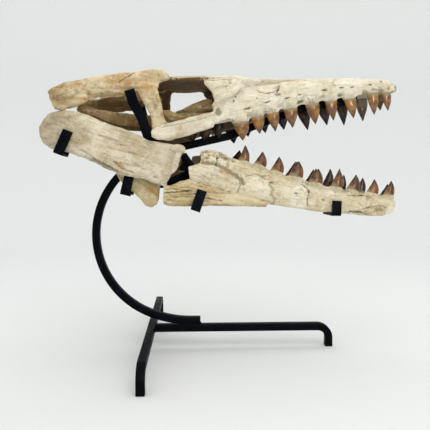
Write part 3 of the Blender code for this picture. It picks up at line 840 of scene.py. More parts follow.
def crown_tree() -> bpy.types.NodeTree:
    """Sets a crown on every point: a bowed, faceted cone with two cutting edges.

    The points carry the vector to their tip and the crown's length along the jaw.

    Returns:
        The tree.
    """
    counts = {"Rings": "Int", "Segments": "Int"}
    work = new_tree("tooth_crowns", **counts, Facet_depth="Float", Edge_height="Float", Bow="Float", Bulge="Float")
    work.work_out(("columns", "ADD", "Segments", 1.0), ("rows", "ADD", "Rings", 1.0))
    work.add("grid", "GeometryNodeMeshGrid", {0: 1.0, 1: 1.0, 2: "columns", 3: "rows"})
    work.add("position", "GeometryNodeInputPosition", {})
    flat = work.add("flat_x", "ShaderNodeSeparateXYZ", {0: "position"})
    work.outputs["flat_y"] = flat.outputs[1]
    work.work_out(
        ("turned", "ADD", "flat_x", 0.5),
        ("angle", "MULTIPLY", "turned", math.tau),
        ("along", "ADD", "flat_y", 0.5),
        ("stretched", "MULTIPLY", "along", 1 + ROOT_SHARE),
        ("share", "SUBTRACT", "stretched", ROOT_SHARE),
    )
    profile = work.add("profile", "ShaderNodeFloatCurve", {"Value": "along"})
    curve = profile.mapping.curves[0]
    curve.points[0].location, curve.points[1].location = (0, 0), (1, 0)
    for at in OUTLINE:
        curve.points.new(*at)
    profile.mapping.update()
    work.work_out(
        ("front", "COSINE", "angle", 0.0),
        ("flank", "SINE", "angle", 0.0),
        ("nine_turns", "MULTIPLY", "angle", 9.0),
        ("ripple", "COSINE", "nine_turns", 0.0),
        ("facets", "MULTIPLY", "ripple", "Facet depth"),
        ("keel", "ABSOLUTE", "front", 0.0),
        ("keen", "POWER", "keel", 9.0),
        ("edges", "MULTIPLY", "keen", "Edge height"),
        ("climb", "MAXIMUM", "share", 0.0),
        ("half_turn", "MULTIPLY", "climb", math.pi),
        ("belly", "SINE", "half_turn", 0.0),
        ("fuller", "MULTIPLY", "belly", "Bulge"),
        ("plump", "ADD", "fuller", 1.0),
        ("girth", "MULTIPLY", "profile", "plump"),
        ("faces", "ADD", "facets", "edges"),
        ("worked", "ADD", "faces", 1.0),
        ("radius", "MULTIPLY", "girth", "worked"),
        ("bend", "MULTIPLY", "belly", "Bow"),
        ("ahead", "MULTIPLY", "radius", "front"),
        ("x", "ADD", "ahead", "bend"),
        ("across", "MULTIPLY", "radius", "flank"),
        ("y", "MULTIPLY", "across", FLATNESS),
    )
    carried = work.outputs["grid"]
    for name, value in (("crown", "climb"), ("fore", "front")):
        inputs = {"Geometry": carried, "Name": name, "Value": value}
        work.add(name + "_kept", "GeometryNodeStoreNamedAttribute", inputs, data_type="FLOAT", domain="POINT")
        carried = work.outputs[name + "_kept"]
    work.add("spot", "ShaderNodeCombineXYZ", {0: "x", 1: "y", 2: "share"})
    work.add("shaped", "GeometryNodeSetPosition", {0: carried, 2: "spot"})
    work.add("closed", "GeometryNodeMergeByDistance", {0: "shaped", "Distance": 1e-4})
    for name, kind in (("tip", "FLOAT_VECTOR"), ("chord", "FLOAT")):
        work.add("its_" + name, "GeometryNodeInputNamedAttribute", {"Name": name}, data_type=kind)
    work.add("height", "ShaderNodeVectorMath", {0: "its_tip"}, "Value", operation="LENGTH")
    work.add("upright", "FunctionNodeAlignRotationToVector", {"Vector": "its_tip"}, axis="Z")
    facing = {"Rotation": "upright", "Vector": (1.0, 0.0, 0.0)}
    work.add("faced", "FunctionNodeAlignRotationToVector", facing, axis="X", pivot_axis="Z")
    work.add("size", "ShaderNodeCombineXYZ", {0: "its_chord", 1: "its_chord", 2: "height"})
    stood = {"Points": "Geometry", "Instance": "closed", "Rotation": "faced", "Scale": "size"}
    work.add("crowns", "GeometryNodeInstanceOnPoints", stood)
    return close_tree(work, "crowns")


@dataclass(frozen=True)
class ToothRow:
    """The crowns that stand in one bone.

    line gives the row's distance from the midline as (x, y) pairs, and collar how far the bone of attachment
    climbs each crown, as a share of its height.
    """

    name: str
    side: Side
    crowns: tuple[Crown, ...]
    line: tuple[Pair, ...]
    finish: ToothEnamel
    collar: float = 0.11
    bow: float = 0.03
    bulge: float = 0.16

    def ends(self, crown: Crown) -> tuple[np.ndarray, np.ndarray]:
        """A crown's base and tip, in the skull's millimetres."""
        y = self.side.value * float(np.interp(crown.base_x, *zip(*self.line)))
        return np.array((crown.base_x, y, crown.base_z)), np.array((crown.tip_x, y * INWARD, crown.tip_z))

    def sleeves(self, name: str, *profile: Point) -> list[bpy.types.Mesh]:
        """A tapered oval tube around each crown.

        Args:
            name: the meshes' name.
            profile: for each ring, how far it is up from the base in millimetres, how much further as a share
                of the crown's height, and its radius as a share of the crown's.

        Returns:
            Closed meshes.
        """
        made = []
        for crown in self.crowns:
            base, tip = self.ends(crown)
            height = float(np.linalg.norm(tip - base))
            axis = (tip - base) / height
            forward = np.array((1.0, 0, 0)) - axis * axis[0]
            forward /= np.linalg.norm(forward)
            across = np.cross(axis, forward) * FLATNESS * 1.12
            rings = []
            for up, further, wide in profile:
                middle, reach = base + axis * (up + height * further), wide * crown.chord / 2
                angles = [math.tau * i / 14 for i in range(14)]
                ring = [middle + (forward * math.cos(a) + across * math.sin(a)) * reach for a in angles]
                rings.append(to_row(np.array(ring)))
            made.append(lofted(rings, name))
        return made

    def cutters(self) -> list[bpy.types.Mesh]:
        """Closed shapes that clear the plain crowns off the bone."""
        return self.sleeves("cutter", (0.4, 0, 1.3), (0, 0.5, 1.3), (0, 1.1, 0.95))

    def collars(self) -> list[bpy.types.Mesh]:
        """The swollen bone of attachment that grips each crown."""
        high = self.collar
        return self.sleeves("collar", (-9, 0, 1.0), (-3, 0, 1.36), (0, high * 0.45, 1.32), (0, high, 1.14))

    def snap(self, points: np.ndarray, outward: np.ndarray) -> np.ndarray:
        """Roughens the enamel a little and takes off the broken tips.

        Args:
            points: the crowns' vertices, in the skull's millimetres.
            outward: their normals.

        Returns:
            The new points.
        """
        points = points + outward * (0.3 * noise(points, 7, 5) + 0.1 * noise(points, 2, 6))[:, None]
        for crown in self.crowns:
            if crown.broken:
                base, tip = self.ends(crown)
                height = np.linalg.norm(tip - base)
                axis = (tip - base) / height
                up = (points - base) @ axis
                mine = np.abs(points[:, 0] - crown.base_x) < crown.chord * 0.75
                jagged = 1.5 * noise(points * (1, 1, 0.05), 3.1, 21)
                notch = jagged - 2.4 * np.exp(-(((points[:, 0] - tip[0]) / 1.6) ** 2))
                over = np.maximum(up - (height - crown.broken + notch), 0)
                points -= axis * (np.where(mine, over, 0) * 0.93)[:, None]
        return points

    def build(self, tree: bpy.types.NodeTree, material: bpy.types.Material) -> bpy.types.Object:
        """Makes the row's crowns as one piece of enamel.

        Args:
            tree: the tree that sets a crown on every point.
            material: the enamel.

        Returns:
            The piece.
        """
        bases, tips = (to_row(np.array(ends)) for ends in zip(*(self.ends(crown) for crown in self.crowns)))
        seed = bpy.data.meshes.new(self.name)
        seed.from_pydata([tuple(p) for p in bases], [], [])
        store(seed, "tip", tips - bases)
        store(seed, "chord", np.array([crown.chord * PLUMP * MM for crown in self.crowns]))
        values = {"Rings": 34, "Segments": 36, "Facet depth": 0.014, "Edge height": 0.05}
        values |= {"Bow": self.bow, "Bulge": self.bulge, "Material": material}
        piece = grown(self.name, seed, tree, values)
        mesh = piece.data
        points = self.snap(to_skull(read(mesh.vertices, "co")), read(mesh.vertex_normals, "vector"))
        write(mesh, to_row(points))
        mesh.shade_smooth()
        return keep(piece, material, "fossil_bone")


# ---------------------------------------------------------------- carving


@dataclass
class Surface:
    """A bone's skin while it is being carved."""

    points: np.ndarray
    outward: np.ndarray
    push: np.ndarray
    marks: dict[Mark, np.ndarray] = field(default_factory=dict)

    def facing(self, side: Side) -> np.ndarray:
        """1 where the skin looks outwards on that side of the skull, 0 elsewhere."""
        return ease(0.05, 0.4, self.outward[:, 1] * side.value) * (self.points[:, 1] * side.value > -2)

    def mark(self, kind: Mark, amount: np.ndarray) -> None:
        """Adds to a mark."""
        self.marks[kind] = np.clip(self.marks.get(kind, 0) + amount, 0, 1)


def turned(along: np.ndarray, up: np.ndarray, degrees: float) -> tuple[np.ndarray, np.ndarray]:
    """Two side-view coordinates, in axes that are turned by some degrees."""
    turn = math.radians(degrees)
    return along * math.cos(turn) + up * math.sin(turn), up * math.cos(turn) - along * math.sin(turn)


@dataclass(frozen=True)
class Oval:
    """A tilted oval in the side view, with its middle and its half-axes."""

    x: float
    z: float
    long: float
    high: float

    def reach(self, points: np.ndarray, tilt: float) -> np.ndarray:
        """How far out each point lies: 0 in the middle of the tilted oval and 1 on its rim."""
        u, v = turned(points[:, 0] - self.x, points[:, 2] - self.z, tilt)
        return np.hypot(u / self.long, v / self.high)


@dataclass(frozen=True)
class Dent(Oval):
    """An oval hollow in a bone's outer face, such as a nutrient opening or the socket between two roots."""

    depth: float
    tilt: float = 0.0
    kind: Mark = Mark.HOLLOW
    strength: float = 0.85
    fade: float = 0.7  # the width of its soft rim, as a share of its size

    def carve(self, skin: Surface, side: Side) -> None:
        """Presses the hollow in and marks it.

        Args:
            skin: the bone's skin.
            side: the side of the skull that it faces.
        """
        reach = self.reach(skin.points, self.tilt)
        reach += 0.3 * noise(skin.points, 4.5, 31) + 0.15 * noise(skin.points, 2, 33)
        amount = ease(1.25, 1.25 - self.fade, reach) * skin.facing(side)
        skin.push -= amount * self.depth
        skin.mark(self.kind, amount * self.strength)


@dataclass(frozen=True)
class Crack:
    """A crack or an open suture along a line of (x, z) points on a bone's outer face."""

    line: tuple[Pair, ...]
    width: float = 1.0
    depth: float = 1.3
    kind: Mark = Mark.HOLLOW
    strength: float = 0.8

    def carve(self, skin: Surface, side: Side) -> None:
        """Cuts the crack and marks it.

        Args:
            skin: the bone's skin.
            side: the side of the skull that it faces.
        """
        place = skin.points[:, (0, 2)] + 0.9 * np.stack((noise(skin.points, 5, 41), noise(skin.points, 5, 47)), 1)
        near = np.full(len(place), 99.0)
        for a, b in zip(self.line, self.line[1:]):
            start, run = np.array(a), np.array(b) - np.array(a)
            share = np.clip((place - start) @ run / (run @ run), 0, 1)
            near = np.minimum(near, np.linalg.norm(place - start - share[:, None] * run, axis=1))
        near *= 1 + 0.5 * noise(skin.points, 5.5, 53)
        amount = ease(self.width * 1.3, self.width * 0.3, near) * skin.facing(side)
        skin.push -= amount * self.depth
        skin.mark(self.kind, amount * self.strength)


@dataclass(frozen=True)
class Spongy(Oval):
    """A patch where the skin is lost and the lumpy, porous inside of the bone shows."""

    tilt: float = 0.0
    depth: float = 1.8

    def carve(self, skin: Surface, side: Side) -> None:
        """Opens the pores, raises the lumps and marks the matrix between them.

        Args:
            skin: the bone's skin.
            side: the side of the skull that it faces.
        """
        reach = self.reach(skin.points, self.tilt) + 0.3 * noise(skin.points, 6, 61)
        amount = ease(1.15, 0.75, reach) * ease(-0.7, -0.1, skin.outward[:, 1] * side.value)
        near, _, pick = cells(skin.points + 1.2 * noise(skin.points, 4, 67)[:, None], 5.2, 71)
        pores = ease(0.45, 0.2, near) * (pick > 0.35)
        lumps = noise(skin.points, 6.5, 73)
        skin.push += amount * (1.3 * lumps - self.depth * pores)
        skin.mark(Mark.HOLLOW, amount * pores * 0.75)
        skin.mark(Mark.OLIVE, amount * 0.5 * ease(0.3, -0.3, lumps))
        skin.mark(Mark.RUST, amount * 0.3 * ease(0.0, 0.5, noise(skin.points, 9, 79)))


@dataclass(frozen=True)
class Boss:
    """An ellipsoid, in the skull's millimetres, that is added to a bone as a swelling or cut away from it.

    On a bone of the left side its y is mirrored. tilt turns it in the side view, in degrees.
    """

    x: float
    y: float
    z: float
    long: float
    wide: float
    high: float
    tilt: float = 0.0

    def shape(self, side: Side) -> bpy.types.Mesh:
        """The ellipsoid as a closed mesh.

        Args:
            side: the side of the skull that it lies on.

        Returns:
            The mesh.
        """
        mesh = bpy.data.meshes.new("boss")
        with edited(mesh) as ball:
            bmesh.ops.create_icosphere(ball, subdivisions=3, radius=1.0)
        x, y, z = (read(mesh.vertices, "co") * (self.long, self.wide, self.high)).T
        x, z = turned(x, z, -self.tilt)
        write(mesh, to_row(np.stack((x, y, z), 1) + (self.x, abs(self.y) * side.value, self.z)))
        return mesh


@dataclass
class FusedSkin:
    """The common skin of bones that are pressed together, which keeps their sutures closed and flush.

    proud holds how far each face stands out from a much smoother skin, in millimetres.
    """

    tree: BVHTree
    proud: np.ndarray

    @classmethod
    def around(cls, swollen: list[bpy.types.Mesh]) -> "FusedSkin":
        """The skin around bones that were each swollen by SWELL.

        Args:
            swollen: the bones.

        Returns:
            The skin.
        """
        mesh = even(joined(swollen, "fused"), -SWELL, 5)
        calm = softened(mesh.copy(), 24)
        offset = read(mesh.vertices, "co") - read(calm.vertices, "co")
        proud = np.sum(offset * read(calm.vertex_normals, "vector"), axis=1) / MM
        corner = np.empty(len(mesh.polygons), np.int32)
        mesh.polygons.foreach_get("loop_start", corner)
        vertex = np.empty(len(mesh.loops), np.int32)
        mesh.loops.foreach_get("vertex_index", vertex)
        shape = bmesh.new()
        shape.from_mesh(mesh)
        tree = BVHTree.FromBMesh(shape)
        shape.free()
        return cls(tree, proud[vertex[corner]])

    def fit(self, mesh: bpy.types.Mesh) -> tuple[bpy.types.Mesh, np.ndarray, np.ndarray]:
        """Lays a swollen bone's outer faces on the skin.

        Args:
            mesh: the bone.

        Returns:
            The fitted mesh, each vertex's proudness, and 1 where it lies on the skin or 0 where it faces
            another bone.
        """
        points, outward = read(mesh.vertices, "co"), read(mesh.vertex_normals, "vector")
        target, normal, face = np.empty_like(points), np.empty_like(points), np.empty(len(points), np.int32)
        for i, point in enumerate(points):
            target[i], normal[i], face[i], _ = self.tree.find_nearest(point)
        far = np.linalg.norm(target - points, axis=1) / MM
        share = ease(2.6 * SWELL, 1.8 * SWELL, far) * ease(0.05, 0.45, np.sum(outward * normal, axis=1))
        write(mesh, points + (target - points) * share[:, None])
        return softened(mesh, 1), self.proud[face], share


@dataclass
class Bone:
    """One bone: its solid, rounded off, weathered and carved.

    The weathering is set by a few strengths in millimetres: lumps for the bone's broad swellings, erosion for
    chipped edges, flake for lost patches of its skin, fibre for the grain and crack for the net of cracks.
    inner says how strongly painted shade browns its inward faces, or its downward faces on a bone of the midline.
    """

    node: str
    finish: FossilBone
    side: Side | None = None
    lumps: float = 1.0
    erosion: float = 1.6
    flake: float = 0.45
    fibre: float = 0.3
    crack: float = 0.7
    inner: float = 0.75
    rounding: int = 4
    rust: float = 0.25
    rows: tuple[ToothRow, ...] = ()
    details: tuple[Dent | Crack | Spongy, ...] = ()
    bosses: tuple[Boss, ...] = ()
    cuts: tuple[Boss, ...] = ()

    def swollen(self) -> bpy.types.Mesh:
        """The solid without its crowns, with its collars and bosses, swollen by SWELL.

        Returns:
            A closed mesh of even faces.
        """
        mesh = cad_copy(self.node)
        side = self.side or Side.RIGHT
        away = [shape for row in self.rows for shape in row.cutters()] + [cut.shape(side) for cut in self.cuts]
        if away:
            made = link("clear", mesh)
            cutters = [link("cutter", shape) for shape in away]
            for cutter in cutters:
                made.modifiers.new("clear", "BOOLEAN").object = cutter
            mesh = settle(made)
            for cutter in [*cutters, made]:
                bpy.data.objects.remove(cutter)
        extra = [shape for row in self.rows for shape in row.collars()] + [boss.shape(side) for boss in self.bosses]
        return even(joined([mesh, *extra], self.node) if extra else mesh, SWELL)

    def grain(self, points: np.ndarray) -> np.ndarray:
        """The points in axes that follow the bone's length."""
        middle = points - points.mean(axis=0)
        _, axes = np.linalg.eigh(middle.T @ middle)
        return middle @ axes[:, ::-1]

    def weather(self, skin: Surface, proud: np.ndarray, seed: int) -> None:
        """Adds the wear that every bone has, and painted shade in its recesses and on its inward faces. The broad
        lumps run on from bone to bone, so sutures stay flush.

        Args:
            skin: the bone's skin.
            proud: how far each point stands out from a smoother skin, in millimetres.
            seed: fixes the fields.
        """
        p = skin.points
        along = self.grain(p)
        skin.push += self.lumps * (1.1 * noise(p, 34, 5) + 0.55 * noise(p, 13, 8) + 0.2 * noise(p, 5, seed + 5))
        edge = ease(0.25, 1.3, proud)
        skin.push -= self.erosion * edge * ease(-0.15, 0.55, noise(p, 8, seed + 13))
        skin.mark(Mark.WORN, edge * 0.45)
        scab = ease(0.16, 0.24, fractal(p, 21, seed + 19, 3)) * ease(-0.3, 0.2, noise(p, 60, seed + 23))
        skin.push -= self.flake * scab
        strands = noise(along * (0.07, 1, 1), 2.9, seed + 29) + 0.8 * noise(along * (0.12, 1, 1), 6.5, seed + 31)
        skin.push += self.fibre * strands
        wander = np.stack([noise(p, 7, seed + k) for k in (37, 41, 43)], 1)
        near, second, _ = cells(along * (0.42, 1, 1) + 2.2 * wander, 19, seed)
        net = ease(0.055, 0.01, second - near) * ease(0.12, 0.5, noise(p, 42, seed + 47))
        skin.push -= self.crack * net
        skin.mark(Mark.HOLLOW, 0.4 * net)
        near, _, pick = cells(p, 6.5, seed + 53)
        pore = ease(0.2, 0.1, near) * (pick > 0.82)
        skin.push -= 0.5 * pore
        skin.mark(Mark.HOLLOW, 0.6 * pore)
        # painted shade: darker, in patches, where the skin sinks below a smoother skin
        skin.mark(Mark.HOLLOW, 0.55 * ease(0.35, 1.5, -proud) * ease(-0.5, 0.3, noise(p, 9, seed + 59)))
        skin.mark(Mark.RUST, self.rust * ease(0.25, 0.7, fractal(p, 26, seed + 61, 2)))
        # painted shade: brown on faces turned to the midline, or turned down on a bone of the midline
        if self.side:
            skin.mark(Mark.INNER, self.inner * ease(-0.05, 0.45, -self.side.value * skin.outward[:, 1]))
        else:
            skin.mark(Mark.INNER, self.inner * ease(0.0, 0.4, -skin.outward[:, 2]))

    def sockets(self) -> list[Dent]:
        """The hollows between neighbouring roots, and the grey of the roots themselves.

        Returns:
            One dent for each wide gap, then one for each crown.
        """
        made = []
        row = self.rows[0]
        for a, b in zip(row.crowns, row.crowns[1:]):
            up = 1 if a.tip_z < a.base_z else -1
            gap = (b.base_x - a.base_x) - (a.chord + b.chord) / 2
            if gap > 2:
                x = (a.base_x + a.chord / 2 + b.base_x - b.chord / 2) / 2
                z = (a.base_z + b.base_z) / 2 + up * 3
                made.append(Dent(x, z, gap * 0.4 + 1.0, 4.6, 2.2, 14 * up, Mark.OLIVE, 0.22))
        for crown in row.crowns:
            up = 1 if crown.tip_z < crown.base_z else -1
            grey = 0.2 + 0.42 * float(chance(np.array([[crown.base_x, crown.base_z, 0.0]]), 5)[0])
            x, z = crown.base_x - 1, crown.base_z - up
            made.append(Dent(x, z, crown.chord * 0.62, 8.5, 0.0, 0, Mark.OLIVE, grey, 1.2))
        return made

    def build(
        self, shape: bpy.types.Mesh, fused: FusedSkin, material: bpy.types.Material, seed: int
    ) -> bpy.types.Object:
        """Makes the bone, which stands for its solid.

        Args:
            shape: the swollen bone.
            fused: the skin that it shares.
            material: its finish.
            seed: fixes its weathering.

        Returns:
            The piece.
        """
        mesh, proud, free = fused.fit(softened(even(shape), self.rounding))
        points = to_skull(read(mesh.vertices, "co"))
        skin = Surface(points, read(mesh.vertex_normals, "vector"), np.zeros(len(points)))
        self.weather(skin, proud, seed)
        for detail in [*self.details, *(self.sockets() if self.rows else [])]:
            detail.carve(skin, self.side or Side.RIGHT)
        # painted shade: faces that look onto a neighbouring bone go dark
        skin.mark(Mark.HOLLOW, 0.7 * (1 - free))
        write(mesh, to_row(points + skin.outward * (skin.push * free)[:, None]))
        for kind in Mark:
            store(mesh, kind.value, np.broadcast_to(skin.marks.get(kind, 0), len(points)))
        store(mesh, "grain", self.grain(skin.points) * MM)
        mesh.shade_smooth()
        return keep(link(self.node + "_bone", mesh), material, "fossil_bone", self.node)


# ---------------------------------------------------------------- skull

R, L = Side.RIGHT, Side.LEFT
SNOUT_LINE = ((-10, 50), (20, 47), (55, 42), (95, 35), (135, 29), (175, 24), (215, 19), (250, 14.5))
FRONT_LINE = ((252, 19.5), (297, 6), (300, 6))
JAW_LINE = (
    *((22, 46.5), (52, 41), (84, 35), (112, 30), (140, 26.5), (168, 22.5)),
    *((200, 19), (232, 15.5), (262, 11.5), (284, 8), (299, 4.95)),
)
PALATE_LINE = ((-60, 22), (30, 22))
PALATE_CROWNS = (Crown(-39, 385, -43, 354.5, 17), Crown(-17, 388, -21.5, 355, 18), Crown(2, 389, 3, 360, 15))

UPPER_RIGHT = ToothRow(
    "crowns_maxilla_right",
    R,
    (
        Crown(37, 387, 41, 355, 21),
        Crown(64, 396, 69, 366.5, 18),
        Crown(89, 404, 95, 370.5, 17),
        Crown(119, 411, 124, 377.5, 19),
        Crown(156, 419, 163, 383.5, 19),
        Crown(188, 426, 194, 390.5, 17),
        Crown(221, 430, 229, 394.5, 17),
    ),
    SNOUT_LINE,
    NEAR_ENAMEL,
)
UPPER_LEFT = ToothRow(
    "crowns_maxilla_left",
    L,
    (
        Crown(28, 384, 33, 357, 19),
        Crown(53, 392, 58, 369, 17),
        Crown(82, 404, 88, 375, 18),
        Crown(114, 411, 120, 380.5, 18),
        Crown(151, 419, 161, 379.5, 19),
        Crown(185, 426, 194, 387.5, 19),
        Crown(217, 430, 223, 386.5, 17),
    ),
    SNOUT_LINE,
    DARK_ENAMEL,
)
FRONT_RIGHT = ToothRow(
    "crowns_premaxilla_right",
    R,
    (Crown(260, 438, 264, 400.5, 16), Crown(285, 440, 290, 408.5, 14)),
    FRONT_LINE,
    NEAR_ENAMEL,
)
FRONT_LEFT = ToothRow(
    "crowns_premaxilla_left",
    L,
    (Crown(252, 437, 256, 394.5, 18), Crown(279, 440, 284, 411.5, 15)),
    FRONT_LINE,
    ROOTED_ENAMEL,
)
STOUT = {"collar": 0.07, "bow": 0.1, "bulge": 0.03}  # the lower crowns: low collars, more bowed, less bulging
LOWER_RIGHT = ToothRow(
    "crowns_dentary_right",
    R,
    (
        Crown(42, 321, 45, 348, 15),
        Crown(68, 314, 74, 338, 18),
        Crown(97, 304, 102, 330, 19),
        Crown(129, 296, 134, 325, 21, 1.5),
        Crown(163, 285, 167, 314, 21, 3.0),
        Crown(200, 278, 206, 311, 17),
        Crown(229, 274, 235, 301, 19),
        Crown(264, 269, 268, 293, 17),
        Crown(294, 265, 299, 291, 15),
    ),
    JAW_LINE,
    LOW_ENAMEL,
    **STOUT,
)
LOWER_LEFT = ToothRow(
    "crowns_dentary_left",
    L,
    (
        Crown(35, 323, 43, 346, 18),
        Crown(74, 312, 80, 334, 16),
        Crown(106, 302, 111, 325, 16),
        Crown(132, 297, 140, 325, 18),
        Crown(165, 285, 171, 311, 18),
        Crown(194, 279, 200, 312, 17),
        Crown(220, 275, 223, 302, 11),
        Crown(251, 271, 255.5, 296.5, 14),
        Crown(291, 265, 297, 285, 12),
    ),
    JAW_LINE,
    DARK_ENAMEL,
    **STOUT,
)
PALATE_RIGHT = ToothRow("crowns_pterygoid_right", R, PALATE_CROWNS, PALATE_LINE, DARK_ENAMEL)
PALATE_LEFT = ToothRow("crowns_pterygoid_left", L, PALATE_CROWNS, PALATE_LINE, DARK_ENAMEL)


def slit(x: float, z: float, long: float, tilt: float = 15.0) -> Dent:
    """A slanting nutrient opening."""
    return Dent(x, z, long / 2 + 0.6, 1.5, 1.6, tilt)


BROW_FILL = (Boss(45, 36, 451.5, 27, 9, 5.5), Boss(14, 52, 424, 28, 7, 6, 33))
TEMPLE_FILL = (Boss(-232, 104, 420, 22, 8, 6.5), Boss(-247, 101, 416, 5, 9, 6), Boss(-236, 98, 399.5, 11, 7, 5))
TEMPLE_CUT = (Boss(-276.6, 99, 381.7, 40, 80, 40), Boss(-276.5, 99, 459, 48, 80, 24, 36))
ARCADE_FILL = (
    Boss(-190, 83, 418.5, 9, 6, 5.5, 30),
    Boss(-175, 80, 421, 14, 6, 5.5),
    Boss(-156, 77, 423.5, 14, 6, 5.5),
)
PLATE_FILL = (
    Boss(-62, 88.6, 338.6, 11.5, 4.4, 6.4, -8),
    Boss(-65.5, 88.6, 318, 5.5, 4.4, 20, -18),
    Boss(-253, 95, 348.5, 9, 8, 8.5),
    Boss(-254, 97, 377, 9, 8, 8.5),
    Boss(-233, 95, 388.5, 25, 8, 6.8, 3),
)
SPLENIAL_FILL = (Boss(44, 49, 260.5, 36, 6, 4.5, -13),)
BLOCK_KNOBS = (Boss(-21, 47, 332.5, 7, 9, 5, -10), Boss(27, 45, 316, 6, 8, 4.5, -20), Boss(-6, 56, 322, 8, 5, 6))

SNOUT_DETAILS = (
    Crack(((64.5, 436.6), (69.4, 432.1), (80.9, 431.4), (89.2, 433.6), (99.1, 438.6)), 0.9, 1.2),
    Crack(((100.7, 443), (99, 437), (95.8, 433)), 1.6, 1.4),
    Dent(97.5, 430, 6, 2.6, 1.2, 0, Mark.OLIVE, 0.8),
    Crack(((-8, 431.5), (10, 434), (27.3, 437.2), (51.4, 442)), 0.9, 0.9, Mark.OLIVE, 0.5),
    slit(47.5, 405.4, 13),
    slit(80, 416.6, 11),
    slit(176, 439.1, 9, 8),
    slit(205.4, 443.6, 8, 6),
    slit(223.3, 445.4, 7, 5),
    slit(134.8, 430.6, 6),
    slit(113.3, 424.4, 8),
    Dent(29.2, 424.1, 1.6, 1.3, 1.2),
    Dent(25.7, 417.1, 1.3, 1.6, 1.2),
    Dent(62.9, 422.4, 1.5, 1.2, 1.0),
    Dent(0.5, 399, 4.8, 6.5, 1.2, 10, Mark.OLIVE, 0.85, 0.4),
    Dent(14, 383.5, 13, 4.5, 1.6, 12, Mark.OLIVE, 0.75),
    Dent(136.6, 417.5, 5.2, 3.8, 2.2, 8, Mark.OLIVE, 0.85),
    Dent(202.7, 430.6, 6, 3.0, 2.0, 5, Mark.OLIVE, 0.55),
    Dent(112, 454.5, 40, 2.4, 0.8, 0, Mark.RUST, 0.45),
    Dent(96, 440.5, 3.4, 2.2, 0.6, 0, Mark.OLIVE, 0.4),
    Crack(((128, 450), (131, 438), (129, 424)), 0.6, 0.5, Mark.HOLLOW, 0.3),
    Crack(((176, 456), (174, 446), (178, 436)), 0.6, 0.5, Mark.HOLLOW, 0.25),
)
CHEEK_DETAILS = (
    Crack(((-92, 373), (-60, 378), (-30, 386), (-5, 394)), 1.2, 1.0, Mark.OLIVE, 0.45),
    Dent(-60, 371, 34, 4, 0.0, 12, Mark.RUST, 0.35, 1.0),
)
BROW_DETAILS = (Dent(-48, 456, 34, 7.5, 0.0, 0, Mark.INNER, 1.0, 0.4),)
TIP_DETAILS = (
    Dent(276.5, 456.8, 3, 1.7, 1.2, -10),
    Dent(255, 449.8, 2.8, 1.6, 1.1, -12),
    Dent(261.9, 441.0, 5.5, 2.6, 1.8, 0, Mark.OLIVE, 0.5),
    Dent(288.5, 444.5, 3.6, 4, 1.8, 60, Mark.OLIVE, 0.6),
    Dent(304, 449, 4, 5, 0.6, 0, Mark.OLIVE, 0.7),
)
JAW_DETAILS = (
    Crack(((-1.9, 331), (-1.5, 322), (-2.4, 314)), 0.9, 1.3),
    Crack(
        ((-26, 319), (-12, 318), (-2, 316), (10, 309.5), (23, 302), (36, 293.2), (42, 285)), 3.2, 3.0, Mark.OLIVE, 0.8
    ),
    Crack(((-40, 289), (-12.7, 279.5), (16.4, 267), (36, 260)), 2.0, 2.0, Mark.INNER, 0.6),
    Spongy(2, 331, 23, 8, -22),
    Spongy(26, 309, 16, 5, -38, 1.2),
    Spongy(-23, 331, 8, 9, 0, 2.4),
    Crack(((33.7, 293.2), (36.5, 281.3), (31.0, 271)), 1.2, 1.2, Mark.INNER, 0.6),
    Crack(((36, 301), (40, 292), (37, 285)), 0.8, 0.7, Mark.OLIVE, 0.5),
    Dent(7, 304, 12, 3.2, 1.2, -22, Mark.RUST, 0.55),
    slit(87.4, 287.4, 8, 0),
    slit(129, 269.9, 7, -5),
    slit(176, 258.6, 6, -5),
    Crack(((139.1, 285.1), (152.1, 274.2), (148.1, 259.1), (149.1, 248.6)), 0.9, 1.1),
    Dent(255, 262, 5.5, 4.2, 1.6, 0, Mark.OLIVE, 0.6),
    Dent(230, 238, 16, 2.6, 1.5, 0, Mark.HOLLOW, 0.7),
    Crack(((218, 266.6), (233, 264.8), (248, 266.5)), 0.9, 0.9),
    Crack(((243, 243), (262, 247), (279, 249), (290, 244)), 1.0, 1.0, Mark.HOLLOW, 0.5),
    Dent(276, 242, 9, 4, 1.4, 8, Mark.OLIVE, 0.55),
    Crack(((84, 284), (91, 276), (87, 268), (94, 260), (90, 252)), 2.4, 1.2, Mark.OLIVE, 0.6),
    Dent(92, 264, 9, 8, 0.3, 0, Mark.RUST, 0.3, 1.1),
    Dent(150, 268, 5, 11, 0.4, 0, Mark.RUST, 0.3, 1.1),
    Dent(10, 334, 13, 4, 1.5, -12, Mark.RUST, 0.5),
    Crack(((44, 297), (60, 301), (72, 297), (84, 299)), 0.9, 0.9, Mark.INNER, 0.55),
    Crack(((44, 262), (60, 258), (74, 259), (88, 255)), 0.9, 0.9, Mark.OLIVE, 0.6),
    Crack(((-20, 303), (2, 297), (20, 288), (30, 282)), 0.8, 0.6, Mark.OLIVE, 0.4),
    Dent(60, 283, 20, 11, -1.2, -14, Mark.WORN, 0.5, 0.9),
    Dent(115, 272, 18, 9, -0.8, -10, Mark.WORN, 0.5, 0.9),
    Dent(12, 326, 4, 3.2, 2.2, 0, Mark.OLIVE, 0.8),
    Dent(25, 323, 4, 3.4, 2.2, -20, Mark.OLIVE, 0.7),
)
